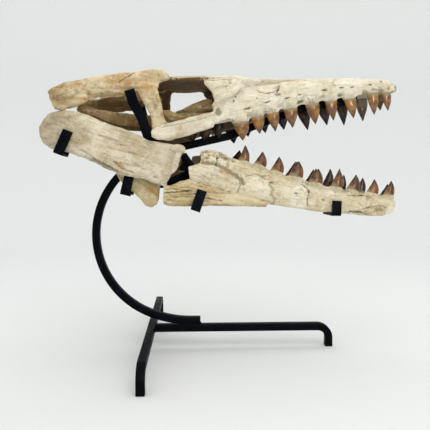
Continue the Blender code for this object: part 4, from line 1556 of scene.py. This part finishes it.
PLATE_DETAILS = (
    Crack(((-160, 320), (-148, 309), (-132, 303)), 1.3, 1.5, Mark.INNER, 0.7),
    Crack(((-215, 342), (-190, 325), (-168, 312)), 0.9, 1.0, Mark.INNER, 0.5),
    Dent(-150, 345, 26, 13, 0.0, -25, Mark.RUST, 0.2, 1.2),
    Crack(((-190, 322), (-165, 309), (-140, 299)), 1.8, 1.4, Mark.OLIVE, 0.5),
    Crack(((-250, 362), (-225, 352), (-205, 345)), 0.8, 0.6, Mark.HOLLOW, 0.35),
    Dent(-80, 330, 34, 34, 0.0, 0, Mark.WORN, 0.7, 1.2),
    Dent(-50, 318, 8, 30, 0.0, -25, Mark.OLIVE, 0.25, 1.2),
    Dent(-262, 372, 34, 42, 0.0, 0, Mark.INNER, 0.26),
    Crack(((-174, 377), (-184, 362), (-190, 346), (-193, 334)), 3.2, -1.6, Mark.WORN, 0.7),
    Dent(-151, 314, 9, 5.5, 0.8, -25, Mark.RUST, 0.85),
    Dent(-175, 383, 5, 3.5, 2.6, -20, Mark.OLIVE, 0.6),
    Dent(-108, 351, 7, 3.2, 1.4, -12, Mark.OLIVE, 0.5),
    Dent(-176, 312, 24, 5, 3.2, -27, Mark.OLIVE, 0.65),
    Crack(((-120, 293), (-104, 286), (-88, 281)), 1.5, 1.2, Mark.OLIVE, 0.5),
)
SPLENIAL_DETAILS = (
    Dent(-70, 285, 40, 14, 0.0, 0, Mark.WORN, 0.35, 1.1),
    Dent(30, 258, 62, 18, 0.0, 0, Mark.WORN, 0.75, 1.1),
    Crack(((-84, 277), (-62, 279), (-45, 280.5)), 1.0, 1.2, Mark.HOLLOW, 0.5),
    Crack(((-60, 268), (-40, 269.5), (-20, 268)), 1.0, 1.2, Mark.HOLLOW, 0.5),
    Crack(((-10, 252), (15, 251), (40, 248)), 1.0, 1.0, Mark.HOLLOW, 0.45),
    Crack(((-86, 271.5), (-60, 273.5), (-42, 274.5)), 1.3, 1.8, Mark.HOLLOW, 0.75),
    Crack(((-84, 264.5), (-40, 266)), 1.0, 1.2, Mark.HOLLOW, 0.45),
    Crack(((-28, 262.5), (-15.9, 262.9), (6.7, 257.9)), 1.3, 1.5, Mark.HOLLOW, 0.6),
    Dent(-70, 281, 9, 4, 0.6, 5, Mark.RUST, 0.6),
    Dent(-10, 270, 14, 4, 0.8, -5, Mark.RUST, 0.35),
)
ARCADE_DETAILS = (
    Crack(((-204, 444), (-199, 436), (-203, 428)), 1.0, 0.8, Mark.OLIVE, 0.5),
    Dent(-165, 440, 26, 9, 0.0, 12, Mark.RUST, 0.35, 1.2),
    Crack(((-103, 436), (-97, 420), (-92, 408)), 0.8, 0.8, Mark.HOLLOW, 0.4),
    # painted shade along the underside of the arcade
    Dent(-170, 421, 30, 5, 0.0, 5, Mark.INNER, 0.6),
    Crack(((-128, 457), (-131.8, 454.1), (-140.7, 446.9), (-151.5, 439.7)), 0.8, 1.1),
    Crack(((-190, 429), (-150, 430.5), (-124, 431)), 1.6, 1.0, Mark.OLIVE, 0.25),
    Dent(-214, 437, 9, 5, 0.4, 30, Mark.RUST, 0.7, 0.8),
    Dent(-112, 436, 20, 12, 0.0, -30, Mark.RUST, 0.35, 1.1),
    Dent(-130, 442, 18, 5, 0.5, 20, Mark.RUST, 0.5),
    Dent(-97, 404, 4, 5, 1.2, 0, Mark.OLIVE, 0.6),
    Dent(-85, 392, 5, 4, 1.2, 0, Mark.OLIVE, 0.6),
)
SQUAMOSAL_DETAILS = (
    Dent(-240, 428, 26, 24, 0.0, 0, Mark.INNER, 0.2),
    Dent(-206, 432, 6, 7, 0.6, 60, Mark.RUST, 0.75),
    Dent(-232, 436, 2.2, 1.4, 1.2),
    Dent(-247, 424, 2.0, 2.0, 1.2),
)


def pair(
    name: str, finish: FossilBone, right: dict | None = None, left: dict | None = None, **both: object
) -> list[Bone]:
    """A bone of the right side and its fellow of the left.

    Args:
        name: their nodes' name without the side.
        finish: their finish.
        right: what only the right one has.
        left: what only the left one has.
        both: what both have.

    Returns:
        The right bone, then the left one.
    """
    own = {Side.RIGHT: right or {}, Side.LEFT: left or {}}
    return [Bone(f"{name}_{side.word}", finish, side, **both, **own[side]) for side in Side]


UPPER_BONES = (
    *pair(
        "maxilla",
        SNOUT_BONE,
        {"rows": (UPPER_RIGHT,), "details": SNOUT_DETAILS, "flake": 0.35, "rust": 0.12},
        {"rows": (UPPER_LEFT,), "rust": 0.15},
    ),
    Bone(
        "premaxilla", SNOUT_BONE, lumps=0.6, rust=0.1, inner=0.5, rows=(FRONT_RIGHT, FRONT_LEFT), details=TIP_DETAILS
    ),
    Bone("frontal", SNOUT_BONE, lumps=0.8, rust=0.3, inner=0.95, details=BROW_DETAILS),
    *pair("prefrontal", SNOUT_BONE, lumps=0.7, inner=0.95, bosses=BROW_FILL),
    *pair(
        "jugal",
        SNOUT_BONE,
        {"details": CHEEK_DETAILS, "fibre": 0.5, "crack": 1.0, "rust": 0.4},
        {"fibre": 0.35},
        inner=0.9,
    ),
    *pair(
        "postorbitofrontal",
        ARCADE_BONE,
        {"details": ARCADE_DETAILS, "inner": 0.95},
        {"inner": 0.98},
        rust=0.4,
        bosses=ARCADE_FILL,
    ),
    *pair("squamosal", ARCADE_BONE, {"details": SQUAMOSAL_DETAILS, "rust": 0.3}, bosses=TEMPLE_FILL, cuts=TEMPLE_CUT),
    *pair("quadrate", ARCADE_BONE, inner=0.9),
    *pair("supratemporal", PALATE_BONE, lumps=0.7),
    *pair("opisthotic", PALATE_BONE, lumps=0.7),
    Bone("parietal", ARCADE_BONE, inner=0.95),
    Bone("braincase", PALATE_BONE, lumps=1.6, rust=0.5),
    *pair(
        "pterygoid",
        PALATE_BONE,
        {"rows": (PALATE_RIGHT,), "inner": 0.5},
        {"rows": (PALATE_LEFT,), "inner": 0.8},
        rust=0.3,
    ),
    *pair("palatine", PALATE_BONE, {"inner": 0.5}, {"inner": 0.7}, lumps=0.5, erosion=1.0),
    *pair("ectopterygoid", PALATE_BONE, lumps=0.5, erosion=1.0),
)
LOWER_BONES = (
    *pair(
        "dentary",
        JAW_BONE,
        {"rows": (LOWER_RIGHT,), "details": JAW_DETAILS},
        {"rows": (LOWER_LEFT,)},
        crack=0.8,
        bosses=BLOCK_KNOBS,
    ),
    *pair("splenial", SPLENIAL_BONE, {"details": SPLENIAL_DETAILS}, fibre=0.5, bosses=SPLENIAL_FILL),
    *pair("postdentary", PLATE_BONE, {"details": PLATE_DETAILS}, fibre=0.42, lumps=1.3, crack=0.35, bosses=PLATE_FILL),
    *pair("angular", ANGULAR_BONE, fibre=0.3, rust=0.6, erosion=1.0),
)


@dataclass
class Skull:
    """The bones and teeth, from the snout to the jaw joint.

    seed fixes the random fields, so that each bone keeps its own weathering.
    """

    seed: int = 300
    upper: tuple[Bone, ...] = UPPER_BONES
    lower: tuple[Bone, ...] = LOWER_BONES
    rows: tuple[ToothRow, ...] = (
        *(UPPER_RIGHT, UPPER_LEFT, FRONT_RIGHT, FRONT_LEFT),
        *(LOWER_RIGHT, LOWER_LEFT, PALATE_RIGHT, PALATE_LEFT),
    )

    def build(self) -> None:
        """Makes every bone, then the teeth."""
        wanted = [piece.finish for piece in self.upper + self.lower + self.rows]
        finishes = {finish.name: finish.material() for finish in dict.fromkeys(wanted)}
        for block in (self.upper, self.lower):
            shapes = [bone.swollen() for bone in block]
            fused = FusedSkin.around(shapes)
            for count, (bone, shape) in enumerate(zip(block, shapes)):
                bone.build(shape, fused, finishes[bone.finish.name], self.seed + 97 * count + 7 * len(block))
        tree = crown_tree()
        for row in self.rows:
            row.build(tree, finishes[row.finish.name])


# ---------------------------------------------------------------- stand


def bar_tree() -> bpy.types.NodeTree:
    """Sweeps a square bar with slightly rounded corners along a path.

    Returns:
        The tree.
    """
    work = new_tree("square_bar", Side="Float", Corner_radius="Float", Bend_radius="Float")
    rounded = {"Count": 12, "Radius": "Bend radius", "Limit Radius": True}
    work.add("path", "GeometryNodeMeshToCurve", {0: "Geometry"})
    work.add("bent", "GeometryNodeFilletCurve", {"Curve": "path", **rounded}, mode="POLY")
    work.add("square", "GeometryNodeCurvePrimitiveQuadrilateral", {"Width": "Side", "Height": "Side"})
    corners = {"Curve": "square", "Count": 3, "Radius": "Corner radius"}
    work.add("profile", "GeometryNodeFilletCurve", corners, mode="POLY")
    work.add("swept", "GeometryNodeCurveToMesh", {"Curve": "bent", "Profile Curve": "profile", "Fill Caps": True})
    return close_tree(work, "swept")


def bead_tree() -> bpy.types.NodeTree:
    """Lays the overlapping ripples of a weld bead along a path.

    Returns:
        The tree.
    """
    work = new_tree("weld_bead", Bead_radius="Float", Pitch="Float", Seed="Int")
    work.add("path", "GeometryNodeMeshToCurve", {0: "Geometry"})
    work.add("spaced", "GeometryNodeResampleCurve", {"Curve": "path", "Length": "Pitch"}, mode="LENGTH")
    work.add("blob", "GeometryNodeMeshIcoSphere", {"Radius": "Bead radius", "Subdivisions": 3})
    work.add("size", "FunctionNodeRandomValue", {2: 0.82, 3: 1.12, "Seed": "Seed"}, 1, data_type="FLOAT")
    work.add("beads", "GeometryNodeInstanceOnPoints", {"Points": "spaced", "Instance": "blob", "Scale": "size"})
    return close_tree(work, "beads")


@dataclass
class Stand:
    """The base of square bar, the C-shaped post that holds the skull, and the straps that grip it.

    Distances are in millimetres, before the shift to the row frame. The base does not lean.
    """

    bar: float = 12.7
    height: float = 41.5
    cross_x: float = -112.8
    feet: Pair = (-193.5, 214.0)
    front_x: float = 197.8
    bend: float = 20.0
    foot_x: float = -28.0  # where the post's end is welded down
    post_centre: Pair = (-58.9, 197.8)
    post_radius: float = 146.7
    palate: tuple[Pair, ...] = ((24, 367), (63, 383), (142, 412), (176, 419), (210, 424), (238, 428))
    jaw: tuple[Pair, ...] = ((-56.5, 334.5), (-41, 312.5), (-26, 299.5), (0, 290), (60, 275), (196, 243.5))
    rear: tuple[Pair, ...] = ((-240, 362.8), (-112, 347.7))
    hooks: tuple[str, ...] = ("rear", "hinge", "middle", "front")
    strap_width: float = 15.5
    strap_thick: float = 3.5
    burr: float = 0.6  # how much is taken off a strap's edges
    lean_back: float = 0.09  # how far the rear hooks' outer straps lean, for each millimetre that they rise
    bends: tuple[tuple[bool, float], ...] = ((True, 4.4), (False, 0.9))  # outer and inner radius of a bend
    temple: tuple[Point, ...] = (
        (-135.8, 84.5, 428.5),
        (-134.1, 84, 423.2),
        (-133.3, 80, 418.3),
        (-130.8, 75, 409.6),
        (-125.7, 71, 400.8),
        (-120.3, 68, 391.9),
        (-116.2, 65.5, 381.2),
        (-113.3, 63.5, 369.8),
        (-109.3, 62.5, 358.6),
        (-106, 59, 349),
        (-101, 47, 341.5),
        (-97, 5, 338),
    )
    gusset: tuple[Pair, ...] = ((-54, 333), (-64, 309), (-44, 306), (-38, 312))

    def post_path(self) -> list[Point]:
        """The centre line of the post: a level end, a curve that rises from it, the C and the arm.

        Returns:
            Points from its end on the base bar to its tip under the palate.
        """
        cx, cz = self.post_centre
        angles = np.radians(np.linspace(250, 103, 73))
        turn = [(cx + self.post_radius * math.cos(a), cz + self.post_radius * math.sin(a)) for a in angles]
        level, flat_x = self.height + 0.2 + self.bar / 2, -44.0
        x0, z0 = turn[0]
        run, slope = flat_x - x0, math.tan(math.radians(-20))  # the C arrives at 20 degrees
        landing = []
        for t in np.linspace(1, 1 / 16, 16):
            fall = (z0 - level + slope * run) * t * t - slope * run * t
            landing.append((x0 + run * t, z0 - fall))
        return [(x, 0.0, z) for x, z in [(self.foot_x, level), *landing, *turn, *self.palate]]

    def bars(self) -> dict[str, tuple[list[Point], float, bool]]:
        """The square bars.

        Returns:
            Node name to the bar's path, its bend radius and whether it leans with the skull.
        """
        low = self.height - self.bar / 2
        start = self.cross_x + self.bar / 2 + 0.2
        right, left = self.feet
        cross = [(self.cross_x, y, z) for y, z in ((right, 0), (right, low), (left, low), (left, 0))]
        return {
            "stand_cross_bar": (cross, self.bend, False),
            "stand_long_bar": ([(start, 0, low), (self.front_x, 0, low), (self.front_x, 0, 0)], self.bend, False),
            "stand_post": (self.post_path(), 40.0, False),
            "stand_jaw_bar": ([(x, 0, z) for x, z in self.jaw], 16.0, True),
            "stand_rear_bar": ([(x, 0, z) for x, z in self.rear], 1.0, True),
        }

    def place(self, path: list[Point], leans: bool) -> list[Point]:
        """A path in row-frame metres."""
        points = np.array(path, float)
        return [tuple(p) for p in (to_row(points) if leans else (points + SHIFT) * MM)]

    def welds(self) -> list[list[Point]]:
        """Where the bars are welded: across the joints, and along both of their sides.

        Returns:
            Paths in row-frame metres.
        """
        half, top, end = self.bar / 2, self.height, self.foot_x
        edge = self.cross_x + half
        runs = [[(end, -half + 1, top + 0.3), (end, half - 1, top + 0.3)]]
        runs += [[(end - 36, y, top + 0.6), (end - 2, y, top + 0.3)] for y in (-half, half)]
        runs += [[(edge, -half + 1, top - 0.2), (edge, half - 1, top - 0.2)]]
        runs += [[(edge, y, top - 1), (edge, y, top - self.bar + 1)] for y in (-half, half)]
        return [self.place(run, False) for run in runs]

    def is_bend(self, edge: bmesh.types.BMEdge) -> bool:
        """Whether an edge runs across a strap where it is bent.

        Args:
            edge: an edge of the strap.

        Returns:
            True where it is as long as the strap is wide, and steep, and lies between two large faces.
        """
        if len(edge.link_faces) != 2 or abs(edge.calc_length() / MM - self.strap_width) > 1:
            return False
        large, steep = 70 * MM * MM, 0.9
        return min(face.calc_area() for face in edge.link_faces) > large and edge.calc_face_angle() > steep

    def deburred(
        self, made: bpy.types.Object, material: bpy.types.Material, steep: float, name: str
    ) -> bpy.types.Object:
        """Takes the burr off a strap's edges and lets it stand for its solid.

        Args:
            made: the strap.
            material: its finish.
            steep: edges over this angle are rounded, in degrees.
            name: its solid's node.

        Returns:
            The piece.
        """
        bevel = made.modifiers.new("burr", "BEVEL")
        bevel.width, bevel.segments = self.burr * MM, 3
        bevel.limit_method, bevel.angle_limit = "ANGLE", math.radians(steep)
        settle(made)
        made.data.shade_smooth()
        made.data.set_sharp_from_angle(angle=SHARP)
        return keep(made, material, "blackened_steel", name)

    def sling(self, side: Side, material: bpy.types.Material) -> bpy.types.Object:
        """The strap that holds the temple up: it leaves the post, turns up outside the bone and ends on its face.

        Args:
            side: which of the two.
            material: its finish.

        Returns:
            The piece.
        """
        path = even_curve(np.array(self.temple) * (1, side.value, 1), 48)
        along = np.gradient(path, axis=0)
        along /= np.linalg.norm(along, axis=1)[:, None]
        broad = np.array((1.0, 0.0, 0.25)) - along * (along @ (1.0, 0.0, 0.25))[:, None]
        broad /= np.linalg.norm(broad, axis=1)[:, None]
        flat = np.cross(along, broad) * self.strap_thick / 2
        broad *= self.strap_width / 2
        corners = ((1, 1), (1, -1), (-1, -1), (-1, 1))
        rings = [to_row(np.array([p + b * u + f * v for u, v in corners])) for p, b, f in zip(path, broad, flat)]
        made = link("steel_cranium_strap_" + side.word, lofted(rings, "sling"))
        return self.deburred(made, material, 40, "stand_cranium_strap_" + side.word)

    def strap(self, name: str, material: bpy.types.Material) -> bpy.types.Object:
        """A strap from its solid, with its bends rounded and the burr taken off its edges.

        Args:
            name: its solid's node.
            material: its finish.

        Returns:
            The piece.
        """
        mesh = cad_copy(name)
        if "rear" in name:
            points = to_skull(read(mesh.vertices, "co"))
            outer = np.abs(points[:, 1]) > np.abs(points[:, 1]).max() - self.strap_thick - 0.5
            points[:, 0] += outer * self.lean_back * (points[:, 2] - points[outer, 2].min())
            write(mesh, to_row(points))
        with edited(mesh) as shape:
            bmesh.ops.dissolve_limit(shape, angle_limit=math.radians(1.5), verts=shape.verts, edges=shape.edges)
            rounding = {"segments": 6, "profile": 0.5, "affect": "EDGES", "clamp_overlap": True}
            for convex, radius in self.bends:
                bends = [edge for edge in shape.edges if self.is_bend(edge) and edge.is_convex == convex]
                bmesh.ops.bevel(shape, geom=bends, offset=radius * MM, **rounding)
        return self.deburred(link(name.replace("stand_", "steel_"), mesh), material, 25, name)

    def beads(self, material: bpy.types.Material) -> bpy.types.Object:
        """The weld beads, with their ripples melted together.

        Args:
            material: their finish.

        Returns:
            The piece.
        """
        values = {"Bead radius": 2.1 * MM, "Pitch": 1.5 * MM, "Seed": 4, "Material": material}
        made = grown("weld_beads", polyline(self.welds(), "welds"), bead_tree(), values)
        skin = made.modifiers.new("skin", "REMESH")
        skin.mode, skin.voxel_size = "VOXEL", 0.5 * MM
        settle(made)
        made.data.materials.clear()
        made.data.shade_smooth()
        return keep(made, material, "blackened_steel")

    def build(self) -> None:
        """Makes the bars, straps and welds."""
        steel = STEEL.material()
        tree = bar_tree()
        for name, (path, bend, leans) in self.bars().items():
            values = {"Side": self.bar * MM, "Corner radius": 0.9 * MM, "Bend radius": bend * MM, "Material": steel}
            seed = polyline([self.place(path, leans)], name)
            piece = grown(name.replace("stand_", "steel_"), seed, tree, values)
            piece.data.shade_smooth()
            piece.data.set_sharp_from_angle(angle=SHARP)
            keep(piece, steel, "blackened_steel", name)
        for hook, side in itertools.product(self.hooks, Side):
            self.strap(f"stand_hook_{hook}_{side.word}", steel)
        for side in Side:
            self.sling(side, steel)
        web = lofted([to_row(np.array([(x, y, z) for x, z in self.gusset])) for y in (-3.0, 3.0)], "gusset")
        keep(link("steel_gusset", web), steel, "blackened_steel")
        self.beads(steel)


# ---------------------------------------------------------------- studio


@dataclass(frozen=True)
class Lamp:
    """A soft rectangular lamp: where it hangs, what it points at, its width and height, its watts and its tint."""

    name: str
    place: Point
    aim: Point
    size: Pair
    watts: float
    tint: str
    lights_matt: bool = True  # a lamp that doesn't only draws highlights

    def build(self) -> None:
        """Hangs the lamp."""
        data = bpy.data.lights.new(self.name, "AREA")
        data.shape, data.energy, data.color = "RECTANGLE", self.watts, linear(self.tint)[:3]
        data.size, data.size_y = self.size
        made = bpy.data.objects.new(self.name, data)
        bpy.context.scene.collection.objects.link(made)
        turn = (Vector(self.aim) - Vector(self.place)).to_track_quat("-Z", "Y").to_matrix().to_4x4()
        made.matrix_world = Matrix.Translation(self.place) @ turn
        made.visible_camera = False
        made.visible_diffuse = self.lights_matt


@dataclass
class Studio:
    """A round cove of pale paper, soft lamps and the camera. Distances are in metres."""

    radius: float = 1.9
    turn: float = 0.7
    wall: float = 1.65
    eye: Point = (-0.05374, -0.90968, 0.3139)
    azimuth: float = math.radians(-2.04)
    pitch: float = math.radians(5.19)
    focal_px: float = 525.8
    frame_px: float = 430.0
    sky_tint: str = "#F8F8F7"
    sky_strength: float = 0.97
    lamps: tuple[Lamp, ...] = (
        Lamp("key", (0.35, -1.35, 1.45), (0.0, 0.0, 0.35), (1.3, 1.3), 7.6, "#FFFAF4"),
        Lamp("top", (0.0, 0.1, 2.1), (0.0, 0.0, 0.0), (1.8, 1.8), 12.5, "#FFFDFB"),
        Lamp("strip", (0.35, -1.5, 0.6), (0.05, 0.0, 0.4), (0.3, 0.9), 9.0, "#FFFAF4", lights_matt=False),
    )

    def cove(self) -> None:
        """The floor that curves up into the wall."""
        flat = self.radius - self.turn
        profile = [(0.0, 0.0), (0.4, 0.0), (0.8, 0.0), (flat, 0.0)]
        for step in range(1, 13):
            a = math.pi / 2 * step / 12
            profile.append((flat + self.turn * math.sin(a), self.turn * (1 - math.cos(a))))
        profile.append((self.radius, self.wall))
        mesh = bpy.data.meshes.new("studio_cove")
        spin = {"cent": (0, 0, 0), "axis": (0, 0, 1), "angle": math.tau, "steps": 96, "use_merge": True}
        with edited(mesh) as shape:
            points = [shape.verts.new((r, 0, z)) for r, z in profile]
            edges = [shape.edges.new(ends) for ends in zip(points, points[1:])]
            bmesh.ops.spin(shape, geom=points + edges, **spin)
            bmesh.ops.remove_doubles(shape, verts=shape.verts, dist=1e-5)
            for face in shape.faces:
                face.smooth = True
                if face.normal.dot(Vector((0, 0, 1)) - face.calc_center_median() * Vector((1, 1, 0))) < 0:
                    face.normal_flip()
        floor = link("studio_cove", mesh)
        mesh.materials.append(PAPER.material())

    def camera(self) -> None:
        """The camera, level with the middle of the skull and tipped a little down."""
        data = bpy.data.cameras.new("camera")
        data.sensor_width, data.clip_start = 36.0, 0.01
        data.lens = self.focal_px * data.sensor_width / self.frame_px
        back = Vector((math.sin(self.azimuth), -math.cos(self.azimuth), 0))
        ahead = -back * math.cos(self.pitch) + Vector((0, 0, -math.sin(self.pitch)))
        right = Vector((math.cos(self.azimuth), math.sin(self.azimuth), 0))
        made = bpy.data.objects.new("camera", data)
        bpy.context.scene.collection.objects.link(made)
        turn = Matrix((right, right.cross(ahead), -ahead)).transposed().to_4x4()
        made.matrix_world = Matrix.Translation(self.eye) @ turn
        bpy.context.scene.camera = made

    def build(self) -> None:
        """Sets the studio up."""
        self.cove()
        for lamp in self.lamps:
            lamp.build()
        sky = bpy.data.worlds.new("sky")
        sky.use_nodes = True
        sky.node_tree.nodes["Background"].inputs[0].default_value = linear(self.sky_tint)
        sky.node_tree.nodes["Background"].inputs[1].default_value = self.sky_strength
        bpy.context.scene.world = sky
        bpy.context.scene.view_settings.view_transform = "Standard"
        self.camera()


def main() -> None:
    """Builds the skull, its stand and the studio."""
    logging.basicConfig(level=logging.INFO, format="%(name)s: %(message)s")
    Skull().build()
    Stand().build()
    Studio().build()


if __name__ == "__main__":
    main()
